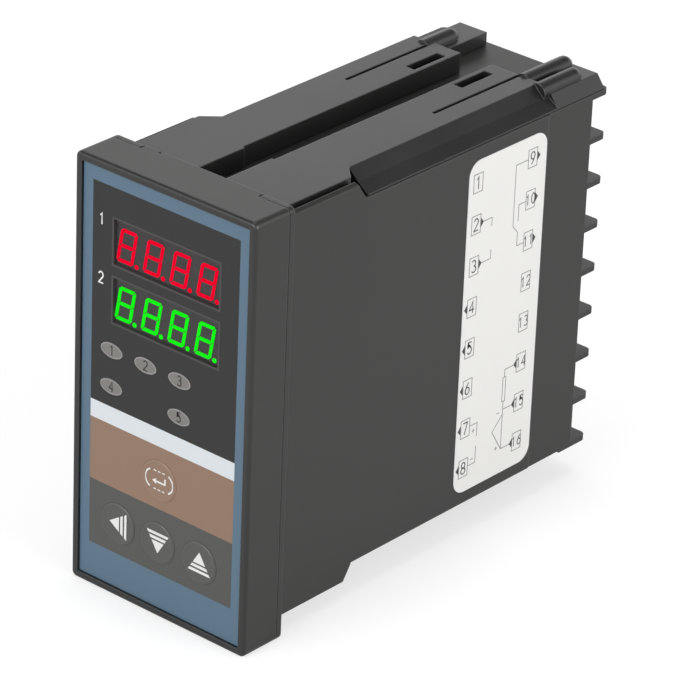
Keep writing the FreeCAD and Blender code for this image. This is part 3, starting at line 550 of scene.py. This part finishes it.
class ControllerBoards(bpy.types.PropertyGroup):
    mask: colour("Solder mask", "Green of the boards", (0.006, 0.058, 0.022))
    track: colour("Tracks", "Copper seen through the solder mask", (0.030, 0.170, 0.055))
    black: colour("Black parts", "Sockets, headers, switches and chips", (0.016, 0.016, 0.017))
    core: colour("Core", "Steel of the transformer's core", (0.30, 0.31, 0.33))
    tape: colour("Tape", "Tape around the coil", (0.58, 0.36, 0.03))
    relay: colour("Relay", "Moulding of a relay", (0.016, 0.085, 0.35))
    sleeve: colour("Sleeve", "Sleeve of a capacitor", (0.03, 0.035, 0.09))
    tin: colour("Tin", "Leads and solder joints", (0.62, 0.62, 0.60))
    pitch: measure("Pitch", "Distance between neighbouring leads, mm", 2.54)


class ControllerStage(bpy.types.PropertyGroup):
    key: measure("Key lamp", "Power of the large overhead lamp, W", 3.4, min=0)
    fill: measure("Fill lamp", "Power of the side lamp, W", 7.0, min=0)
    front: measure("Front lamp", "Power of the lamp before the face, W", 7.0, min=0)
    ambient: measure("Surroundings", "Light of the surroundings", 0.42, min=0)
    backdrop: measure("Backdrop", "How bright the backdrop is in reflections", 1.5, min=0)
    ceiling: measure("Ceiling", "How bright the ceiling is in reflections", 0.03, min=0)
    mirrored: measure("Mirrored floor", "Glow of the floor in reflections", 0.35, min=0)
    lens: measure("Lens", "Focal length, mm", 243.4, min=1)
    roll: measure("Roll", "Turn of the camera about its view, degrees", 2.285)


# Pieces ----------------------------------------------------------------------------------------

class CONTROLLER_OT_mouldings(bpy.types.Operator):
    """Finishes the housing, bezel, rear block and bracket"""
    bl_idname = "controller.mouldings"
    bl_label = "Mouldings"

    def execute(self, context):
        look = context.scene.controller_plastics
        for solid, name, paint, matt in (("case_shell", "Housing plastic", look.housing, 1.0),
                                         ("terminal_block", "Block plastic", look.housing, 1.1),
                                         ("mounting_bracket", "Bracket plastic", look.bracket, 0.9),
                                         ("front_bezel", "Bezel plastic", look.housing, 1.0)):
            dress([solid], moulded(name, paint, look.roughness * matt, look.grain, look.depth))
        return {"FINISHED"}


class CONTROLLER_OT_film(bpy.types.Operator):
    """Prints the coloured bands and the row figures on the face film"""
    bl_idname = "controller.film"
    bl_label = "Face film"

    def execute(self, context):
        look = context.scene.controller_face
        material, shader = blank("Printed film")
        tree = material.node_tree
        coords = node(tree, "ShaderNodeTexCoord", (-1200, 0))
        place = node(tree, "ShaderNodeSeparateXYZ", (-1000, 0), {0: coords.outputs["Object"]})
        x, z = place.outputs["X"], place.outputs["Z"]
        inside = product(tree, step_mask(tree, x, -look.half_width, True),
                         step_mask(tree, x, look.half_width, False))
        result = (*look.border, 1)
        for top, bottom, paint in ((look.panel_top, look.stripe_top, look.panel),
                                   (look.stripe_top, look.brown_top, look.stripe),
                                   (look.brown_top, look.grey_top, look.brown),
                                   (look.grey_top, look.grey_bottom, look.grey)):
            mask = product(tree, inside, step_mask(tree, z, bottom, True), step_mask(tree, z, top, False))
            mix = node(tree, "ShaderNodeMix", (400, 0), {"Factor": mask, "A": result, "B": (*paint, 1)},
                       data_type="RGBA")
            result = mix.outputs["Result"]
        feed(shader, {"Base Color": result, "Roughness": 0.38, "Specular IOR Level": 0.42})
        emboss(shader, texture(tree, "ShaderNodeTexNoise", {"Scale": 3500.0}), 0.12, 0.00003)
        dress(["front_overlay"], material)
        ink = plain("White ink", look.ink, 0.5)
        skin = -corners("front_overlay")[0].y
        figures, lines = bmesh.new(), bmesh.new()
        from_side, above_middle, line = -17.2, 3.9, 0.14
        for text, window in (("1", "upper_window"), ("2", "lower_window")):
            centre = middle(window)
            lettering(figures, text, 2.4, from_side, centre.z + above_middle, skin - SUNK, skin + RAISED, 0.14)
            band(lines, rectangle(centre.x, centre.z, WINDOW_HALF_WIDTH + line, WINDOW_HALF_HEIGHT + line),
                 rectangle(centre.x, centre.z, WINDOW_HALF_WIDTH, WINDOW_HALF_HEIGHT), skin - SUNK, skin + 0.02)
        piece("row_figures", figures, FACE_PLANE, "chassis", ink)
        piece("window_lines", lines, FACE_PLANE, "chassis", plain("Window line", look.line, 0.45))
        return {"FINISHED"}


class CONTROLLER_OT_displays(bpy.types.Operator):
    """Finishes the windows, display modules and lit digits, and lines each window with a frame that glows with
    painted light
    """
    bl_idname = "controller.displays"
    bl_label = "Displays"

    def execute(self, context):
        look = context.scene.controller_lights
        for name, paint in (("upper_segments", look.red), ("lower_segments", look.green)):
            material, shader = blank("Lit " + name.replace("_", " "))
            feed(shader, {"Base Color": BLACK, "Specular IOR Level": 0.0, "Emission Color": (*paint, 1),
                          "Emission Strength": look.strength})
            dress([name], material)
        dress(["upper_display", "lower_display"], plain("Display face", look.module, 0.36))
        glass, shader = blank("Smoked window")
        feed(shader, {"Base Color": (0.02, 0.02, 0.02, 1), "Alpha": 0.02, "Roughness": 0.3})
        dress(["upper_window", "lower_window"], glass)
        # A frame in the module's colour covers each window's walls and the gap round its module; its faint glow is
        # painted light in place of their shade.
        skin = -corners("front_overlay")[0].y
        overlap = Vector((0.02, 0, 0.02))
        bm = bmesh.new()
        for window, module in (("upper_window", "upper_display"), ("lower_window", "lower_display")):
            low, high = corners(module)
            centre, reach = middle(window), (high - low) / 2 + overlap
            band(bm, rectangle(centre.x, centre.z, WINDOW_HALF_WIDTH, WINDOW_HALF_HEIGHT),
                 rectangle(centre.x, centre.z, reach.x, reach.z), -low.y - 0.1, skin + 0.01)
        lit, shader = blank("Frame with painted glow")
        feed(shader, {"Base Color": (*look.module, 1), "Emission Color": (1, 0.96, 0.98, 1),
                      "Emission Strength": look.spill})
        piece("window_frames", bm, FACE_PLANE, "chassis", lit)
        return {"FINISHED"}


class CONTROLLER_OT_lamps(bpy.types.Operator):
    """Finishes the indicator lenses and their figures"""
    bl_idname = "controller.lamps"
    bl_label = "Indicator lenses"

    def execute(self, context):
        look = context.scene.controller_lights
        dress(["indicator_lenses"], plain("Frosted lens", look.lens, 0.4, bump=0.1))
        dress(["indicator_leds"], plain("Lamp body", (0.45, 0.08, 0.04), 0.2))
        low, high = corners("indicator_lenses")
        skin = -low.y
        lens_half_width, lens_half_height = 3.0, 1.65
        left, right = low.x + lens_half_width, high.x - lens_half_width
        top, bottom = high.z - lens_half_height, low.z + lens_half_height
        places = ((left, top), ((left + right) / 2, top), (right, top), (left, bottom), (right, bottom))
        figures, rims = bmesh.new(), bmesh.new()
        for count, (x, z) in enumerate(places):
            lettering(figures, str(count + 1), 2.1, x, z, skin - SUNK, skin + RAISED, 0.13)
            band(rims, ellipse(x, z, 2.98, 1.63), ellipse(x, z, 2.72, 1.37), skin - SUNK, skin + 0.05)
        for name, bm, ink in (("lens_figures", figures, plain("Dark ink", (0.015, 0.015, 0.015), 0.5)),
                              ("lens_rims", rims, plain("Lens rim", look.rim, 0.4))):
            piece(name, bm, FACE_PLANE, "chassis", ink)
        return {"FINISHED"}


class CONTROLLER_OT_keys(bpy.types.Operator):
    """Presses the four domed keys and prints their glyphs"""
    bl_idname = "controller.keys"
    bl_label = "Keys"

    def execute(self, context):
        face = context.scene.controller_face
        ink = bpy.data.materials["White ink"]
        stem, foot, foot_height = 2.5, 3.3, 0.9
        for name, paint in (("set_key", face.brown), ("shift_key", face.grey), ("down_key", face.grey),
                            ("up_key", face.grey)):
            centre = middle(name)
            low, high = corners(name)
            rim = (high.x - low.x) / 2
            front, back = -low.y, -high.y
            dish, ring, under = front - 0.06, front + 0.04, front - 0.6
            profile = ((0, dish), (3.5, dish), (3.8, front - 0.03), (4.05, ring), (4.3, ring),
                       (rim - 0.2, front - 0.05), (rim, dish), (rim, front - 0.5), (rim - 0.1, under),
                       (stem, under), (stem, back + foot_height), (foot, back + foot_height),
                       (foot, back), (0, back))
            bm = bmesh.new()
            lathe(bm, centre.x, centre.z, profile)
            key = piece(name + "_dome", bm, FACE_PLANE, name,
                        plain("Key film " + name.split("_")[0], paint, 0.36, bump=0.1), 30)
            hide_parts(name)
            bm = bmesh.new()
            print_glyph(bm, name, centre.x, centre.z, front - 0.07, front - 0.03)
            piece(name + "_glyph", bm, FACE_PLANE, name, ink)
        return {"FINISHED"}


def print_glyph(bm, name, x, z, low, high):
    """A dashed oval with a return arrow on the upper key, and a sliced triangle on each of the others."""
    if name == "set_key":
        dash, half_opening = 0.7, 68
        for side, facing in ((-1, 180), (1, 0)):
            bow = arc(x + side * 1.75, z, 2.0, 2.1, facing - half_opening, facing + half_opening)
            ribbon(bm, bow, 0.34, low, high)
            for start in (-1.5, -0.35, 0.8):
                ribbon(bm, ((x + start, z + side * 2.08), (x + start + dash, z + side * 2.08)), 0.22, low, high)
        ribbon(bm, ((x + 1.6, z + 0.95), (x + 1.6, z - 0.3), (x - 0.9, z - 0.3)), 0.36, low, high)
        slab(bm, ((x - 1.9, z - 0.3), (x - 0.8, z - 0.95), (x - 0.8, z + 0.35)), low, high)
        return
    turn = {"up_key": 0, "shift_key": math.pi / 2, "down_key": math.pi}[name]
    cos, sin = math.cos(turn), math.sin(turn)
    half, height = 3.0, 4.7
    for start, end in ((0.0, 0.13), (0.22, 0.36), (0.44, 1.0)):
        wide = half * (1 - start)
        narrow = half * (1 - end)
        flat = [(-wide, start * height), (wide, start * height)]
        flat += [(narrow, end * height), (-narrow, end * height)] if narrow else [(0, height)]
        slab(bm, [(x + u * cos - (v - height / 2) * sin, z + u * sin + (v - height / 2) * cos) for u, v in flat],
             low, high)


class CONTROLLER_OT_label(bpy.types.Operator):
    """Prints the terminal label on the side of the housing"""
    bl_idname = "controller.label"
    bl_label = "Terminal label"

    def execute(self, context):
        look = context.scene.controller_label
        dress(["side_label"], plain("Label card", look.card, 0.45, bump=0.05))
        low, high = corners("side_label")
        near, far = low.y + 2.9, high.y - 4.5
        first = high.z - 5.05
        base, top = high.x - SUNK, high.x + RAISED
        half_x, half_z = 1.5, 2.15
        wing, point = 1.1, 0.9
        pointing = ((1, (2, 3, 9, 10, 11)), (-1, (4, 5, 6, 7, 8, 14, 15, 16)))
        figures, lines = bmesh.new(), bmesh.new()

        def frame_line(y, z, half_y, half_height):
            """A printed box whose outer edge has these half sizes."""
            band(lines, rectangle(y, z, half_y, half_height),
                 rectangle(y, z, half_y - look.line, half_height - look.line), base, top)

        def draw(number, *points):
            """A wiring line given from the middle of a boxed figure."""
            column, row = divmod(number - 1, look.rows)
            y, z = (near, far)[column], first - look.pitch * row
            ribbon(lines, [(y + u, z + v) for u, v in points], look.line, base, top)

        for column, y in enumerate((near, far)):
            for row in range(look.rows):
                z = first - look.pitch * row
                number = 1 + row + column * look.rows
                frame_line(y, z, half_x, half_z)
                lettering(figures, str(number), 2.7 if number < 10 else 2.3, y, z, base, top, 0.1)
                for side, numbers in pointing:
                    if number in numbers:
                        root = y + side * half_x
                        slab(figures, ((root, z - side * wing), (root + side * point, z),
                                       (root, z + side * wing)), base, top)

        tip = half_x + point
        step = look.pitch
        draw(2, (tip, 0), (5.1, 0), (5.1, -1.9))
        draw(3, (tip, 0), (5.2, 0), (5.2, 2.1))
        draw(9, (-half_x, 0), (-5.3, 0), (-5.3, -13.8), (-3.7, -15.6), (-3.7, -2 * step), (-half_x, -2 * step))
        draw(10, (-half_x, 0), (-3.7, 0), (-3.7, -3.7))
        draw(7, (half_x, 0), (3.9, 0), (3.9, -3.2))
        draw(8, (half_x, 0), (3.8, 0), (3.8, 3.9))
        draw(14, (-tip, 0), (-5.2, 0), (-5.2, -1.7))
        draw(14, (-5.2, -7.5), (-5.2, -step), (-tip, -step))
        draw(15, (-5.2, 0), (-5.2, -1.2), (-8.4, -4.3), (-5.2, -step), (-tip, -step))
        draw(15, (-5.2, -1.2), (-5.2, -step))
        frame_line(far - 5.2, first - step * 5 - 4.6, 0.55, 2.9)
        arm = 0.45
        for number, u, v, upright in ((7, 2.7, -1.5, True), (8, 2.6, 1.2, False), (15, -6.8, -0.4, False),
                                      (15, -6.8, -8.7, True)):
            draw(number, (u - arm, v), (u + arm, v))
            if upright:
                draw(number, (u, v - arm), (u, v + arm))
        for name, bm, ink in (("label_figures", figures, plain("Label ink", look.ink, 0.5)),
                              ("label_lines", lines, plain("Label lines", look.line_ink, 0.5))):
            piece(name, bm, SIDE_PLANE, "case", ink)
        return {"FINISHED"}


class CONTROLLER_OT_terminals(bpy.types.Operator):
    """Sets a screw with its square washer on every rear contact"""
    bl_idname = "controller.terminals"
    bl_label = "Terminals"

    def execute(self, context):
        look = context.scene.controller_terminals
        zinc = plain("Zinc plate", look.screw, 0.32, 1.0, bump=0.1, scale=900)
        dress(["board_screws"], zinc)
        dress(["terminal_contacts"], plain("Contact brass", look.contact, 0.3, 1.0))
        low, high = corners("terminal_screws")
        washer_low, washer_high = corners("clamp_washers")
        radius, washer = look.head, look.washer
        crown = high.y - low.y
        seat = washer_high.y - low.y
        shank = 1.75
        bm = bmesh.new()
        lathe(bm, 0, 0, ((0, crown - 0.15), (radius * 0.55, crown), (radius * 0.85, crown - 0.25),
                         (radius, crown - 0.8), (radius, seat + 0.1), (radius - 0.15, seat), (shank, seat),
                         (shank, 0.6), (1.4, 0), (0, 0)), 40)
        screws = self.spread("terminal_screw_set", "terminal_screws", bm, 2 * radius, zinc, 35)
        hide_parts("terminal_screws")
        bm = bmesh.new()
        deep, proud = 0.7, 0.02
        long, half = radius * 0.78, 0.42
        slab(bm, ((-long, -half), (-half, -half), (-half, -long), (half, -long), (half, -half), (long, -half),
                  (long, half), (half, half), (half, long), (-half, long), (-half, half), (-long, half)),
             crown - deep, crown + proud)
        self.spread("terminal_screw_slots", "terminal_screws", bm, 2 * radius,
                    plain("Slot shade", (0.02, 0.02, 0.02), 0.6))
        bm = bmesh.new()
        round_by = 0.8
        inner = washer / 2 - round_by
        outline = []
        for corner_x, corner_z, start in ((1, 1, 0), (-1, 1, 90), (-1, -1, 180), (1, -1, 270)):
            outline += arc(corner_x * inner, corner_z * inner, round_by, round_by, start, start + 90, 6)
        band(bm, outline, ellipse(0, 0, 1.9, 1.9, 24), 0, washer_high.y - washer_low.y)
        washers = self.spread("clamp_washer_set", "clamp_washers", bm, washer, zinc)
        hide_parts("clamp_washers")
        return {"FINISHED"}

    def spread(self, name, solid, bm, width, material, smooth=None):
        """Sets a small part, drawn face up, at the place of each solid of a node that is this wide."""
        rows = bpy.context.scene.controller_terminals.rows
        bmesh.ops.rotate(bm, verts=bm.verts, matrix=Matrix.Rotation(-math.pi / 2, 3, "X"))
        low, high = corners(solid)
        centre = middle(solid)
        return copies(name, bm, 2, rows, high.x - low.x - width, high.z - low.z - width,
                      (centre.x, low.y, centre.z), UPRIGHT, "case", material, smooth)


class CONTROLLER_OT_boards(bpy.types.Operator):
    """Finishes the boards and solders their parts on"""
    bl_idname = "controller.boards"
    bl_label = "Boards"

    def execute(self, context):
        look = context.scene.controller_boards
        dress(["display_board", "power_board", "control_board"], circuit("Circuit board", look.mask, look.track))
        dress(["tact_switches", "rear_sockets", "board_headers", "transformer_base", "logic_chips"],
              moulded("Black parts", look.black, 0.42))
        dress(["transformer_core"], laminated("Core steel", look.core))
        dress(["transformer_coil"], plain("Coil tape", look.tape, 0.4, bump=0.4, scale=500))
        dress(["relays"], moulded("Relay plastic", look.relay, 0.35))
        dress(["capacitors"], plain("Capacitor sleeve", look.sleeve, 0.35, bump=0.1))
        tin = plain("Tinned leads", look.tin, 0.3, 1.0, bump=0.1)
        self.joints(look, tin)
        leg, foot, narrow, wide = 1.1, 1.7, 0.22, 0.5
        for count, (low, high) in enumerate(solids("logic_chips")):
            number = self.leads(high.y - low.y, look.pitch)
            bm = bmesh.new()
            slab(bm, ((0, -narrow), (leg, -narrow), (leg, -wide), (foot, -wide), (foot, wide), (leg, wide),
                      (leg, narrow), (0, narrow)), -0.12, 0.12)
            centre = (low + high) / 2
            copies("chip_legs_%d" % (count + 1), bm, 2, number, high.z - low.z + 0.24, (number - 1) * look.pitch,
                   (low.x, centre.y, centre.z), SIDEWAYS, "chassis", tin)
        caps = bmesh.new()
        for low, high in solids("capacitors"):
            centre, radius = (low + high) / 2, (high.z - low.z) / 2 * 0.8
            inside, outside = low.x + 0.1, low.x - 0.12
            lathe(caps, centre.y, centre.z, ((0, inside), (radius, inside), (radius, low.x - 0.08),
                                             (radius - 0.15, outside), (0, outside)), 40)
        piece("capacitor_tops", caps, SIDE_PLANE, "chassis",
              plain("Can metal", look.tin, 0.4, 1.0, bump=0.2), 30)
        return {"FINISHED"}

    def leads(self, span, pitch):
        """How many leads a part has along one side."""
        return int((span - 1) / pitch) + 1

    def joints(self, look, tin):
        """Solder joints on the outer faces of the two side boards."""
        right, left = corners("power_board")[1].x, corners("control_board")[0].x
        pitch = look.pitch
        rows = []
        for count, (low, high) in enumerate(solids("relays")):
            rows.append(("relay_joints_%d" % (count + 1), 1, low, high, 2, 3, high.z - low.z - 4,
                         high.y - low.y - 4))
        for count, (low, high) in enumerate(solids("capacitors")):
            rows.append(("capacitor_joints_%d" % (count + 1), 1, low, high, 2, 1, 5.0, 0))
        low, high = corners("transformer_base")
        rows.append(("transformer_joints", 1, low, high, 2, 5, high.z - low.z - 5, high.y - low.y - 5))
        for count, (low, high) in enumerate(solids("logic_chips")):
            number = self.leads(high.y - low.y, pitch)
            rows.append(("chip_joints_%d" % (count + 1), -1, low, high, 2, number, high.z - low.z,
                         (number - 1) * pitch))
        for part, spacing in (("board_headers", pitch), ("rear_sockets", 2 * pitch)):
            for low, high in solids(part):
                side, word = (1, "right") if high.x > 0 else (-1, "left")
                number = self.leads(high.z - low.z, spacing)
                if part == "rear_sockets":
                    high = Vector((high.x, low.y + 2.4, high.z))
                rows.append(("%s_joints_%s" % (part, word), side, low, high, number, 1, (number - 1) * spacing, 0))
        profile = ((0, -0.05), (0.95, -0.05), (0.85, 0.1), (0.5, 0.4), (0.36, 0.75), (0.3, 1.1), (0, 1.15))
        for name, side, low, high, columns, lines, width, height in rows:
            bm = bmesh.new()
            lathe(bm, 0, 0, profile, 16)
            bmesh.ops.rotate(bm, verts=bm.verts, matrix=Matrix.Rotation(side * math.pi / 2, 3, "Y"))
            centre = (low + high) / 2
            copies(name, bm, columns, lines, width, height, (right if side > 0 else left, centre.y, centre.z),
                   SIDEWAYS, "chassis", tin, 40)


class CONTROLLER_OT_stage(bpy.types.Operator):
    """Sets up the floor, lamps and camera"""
    bl_idname = "controller.stage"
    bl_label = "Stage"

    def execute(self, context):
        scene = context.scene
        look = scene.controller_stage
        scene.view_settings.view_transform = "Standard"
        low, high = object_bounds()
        ground = min(low[2], high[2])
        bm = bmesh.new()
        slab(bm, rectangle(0, 0, 3, 3), ground - 0.02, ground)
        mesh = bpy.data.meshes.new("floor")
        bm.to_mesh(mesh)
        bm.free()
        floor = bpy.data.objects.new("floor", mesh)
        scene.collection.objects.link(floor)
        material, shader = blank("Floor")
        tree = material.node_tree
        rays = node(tree, "ShaderNodeLightPath", (-600, -300)).outputs
        mirrored = product(tree, rays["Is Glossy Ray"], look.mirrored)
        glow = node(tree, "ShaderNodeMath", (-300, -300), {0: rays["Is Camera Ray"], 1: 0.62, 2: mirrored},
                    operation="MULTIPLY_ADD")
        feed(shader, {"Base Color": (0.42, 0.42, 0.42, 1), "Roughness": 0.9, "Specular IOR Level": 0.0,
                      "Emission Color": WHITE, "Emission Strength": glow.outputs["Value"]})
        mesh.materials.append(material)
        floor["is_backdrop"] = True
        self.surroundings(scene, look)
        aim = Vector((0, 0.04, 0))
        for name, power, size, place in (("Key lamp", look.key, 0.7, (-0.1, 0.15, 0.9)),
                                         ("Fill lamp", look.fill, 0.6, (0.95, 0.1, 0.35)),
                                         ("Front lamp", look.front, 0.6, (-0.15, -0.95, 0.35))):
            data = bpy.data.lights.new(name, "AREA")
            data.energy = power
            data.size = size
            lamp = bpy.data.objects.new(name, data)
            lamp.location = place
            lamp.rotation_euler = (aim - Vector(place)).to_track_quat("-Z", "Y").to_euler()
            scene.collection.objects.link(lamp)
        data = bpy.data.cameras.new("Camera")
        data.lens = look.lens
        data.sensor_width = 36.0
        camera = bpy.data.objects.new("Camera", data)
        forward = Vector(CAMERA_AIM).normalized()
        level = forward.cross(Vector((0, 0, 1))).normalized()
        upward = level.cross(forward)
        turn = math.radians(look.roll)
        right = level * math.cos(turn) + upward * math.sin(turn)
        above = upward * math.cos(turn) - level * math.sin(turn)
        camera.matrix_world = Matrix.Translation(CAMERA_PLACE) @ Matrix(
            (right, above, -forward)).transposed().to_4x4()
        scene.collection.objects.link(camera)
        scene.camera = camera
        return {"FINISHED"}

    def surroundings(self, scene, look):
        """White to the camera; in reflections the backdrop fades into a dark ceiling."""
        world = bpy.data.worlds.new("Surroundings")
        world.use_nodes = True
        scene.world = world
        tree = world.node_tree
        rays = node(tree, "ShaderNodeLightPath", (-600, 0)).outputs
        coords = node(tree, "ShaderNodeTexCoord", (-900, -300))
        parts = node(tree, "ShaderNodeSeparateXYZ", (-750, -300), {0: coords.outputs["Generated"]})
        fade = node(tree, "ShaderNodeMapRange", (-600, -300), {
            "Value": parts.outputs["Z"], "From Min": 0.44, "From Max": 0.60,
            "To Min": look.backdrop, "To Max": look.ceiling}, interpolation_type="SMOOTHSTEP")
        glossy = node(tree, "ShaderNodeMix", (-400, -100), {
            "Factor": rays["Is Glossy Ray"], "A": look.ambient, "B": fade.outputs["Result"]}, data_type="FLOAT")
        seen = node(tree, "ShaderNodeMix", (-200, 0), {
            "Factor": rays["Is Camera Ray"], "A": glossy.outputs["Result"], "B": 1.0}, data_type="FLOAT")
        feed(tree.nodes["Background"], {"Color": WHITE, "Strength": seen.outputs["Result"]})


PIECES = (CONTROLLER_OT_mouldings, CONTROLLER_OT_film, CONTROLLER_OT_displays, CONTROLLER_OT_lamps,
          CONTROLLER_OT_keys, CONTROLLER_OT_label, CONTROLLER_OT_terminals, CONTROLLER_OT_boards,
          CONTROLLER_OT_stage)
SETTINGS = (("controller_plastics", ControllerPlastics), ("controller_face", ControllerFace),
            ("controller_lights", ControllerLights), ("controller_label", ControllerLabel),
            ("controller_terminals", ControllerTerminals), ("controller_boards", ControllerBoards),
            ("controller_stage", ControllerStage))


class CONTROLLER_PT_panel(bpy.types.Panel):
    """Lists the pieces of the controller in the order in which they are made"""
    bl_label = "Controller"
    bl_idname = "CONTROLLER_PT_panel"
    bl_space_type = "VIEW_3D"
    bl_region_type = "UI"
    bl_category = "Controller"

    def draw(self, context):
        for kind in PIECES:
            self.layout.operator(kind.bl_idname)


def register():
    for name, kind in SETTINGS:
        bpy.utils.register_class(kind)
        setattr(bpy.types.Scene, name, PointerProperty(type=kind))
    for kind in PIECES:
        bpy.utils.register_class(kind)
    bpy.utils.register_class(CONTROLLER_PT_panel)


def unregister():
    bpy.utils.unregister_class(CONTROLLER_PT_panel)
    for kind in reversed(PIECES):
        bpy.utils.unregister_class(kind)
    for name, kind in reversed(SETTINGS):
        delattr(bpy.types.Scene, name)
        bpy.utils.unregister_class(kind)


def main():
    register()
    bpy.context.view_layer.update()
    for kind in PIECES:
        group, name = kind.bl_idname.split(".")
        getattr(getattr(bpy.ops, group), name)()


if __name__ == "__main__":
    main()
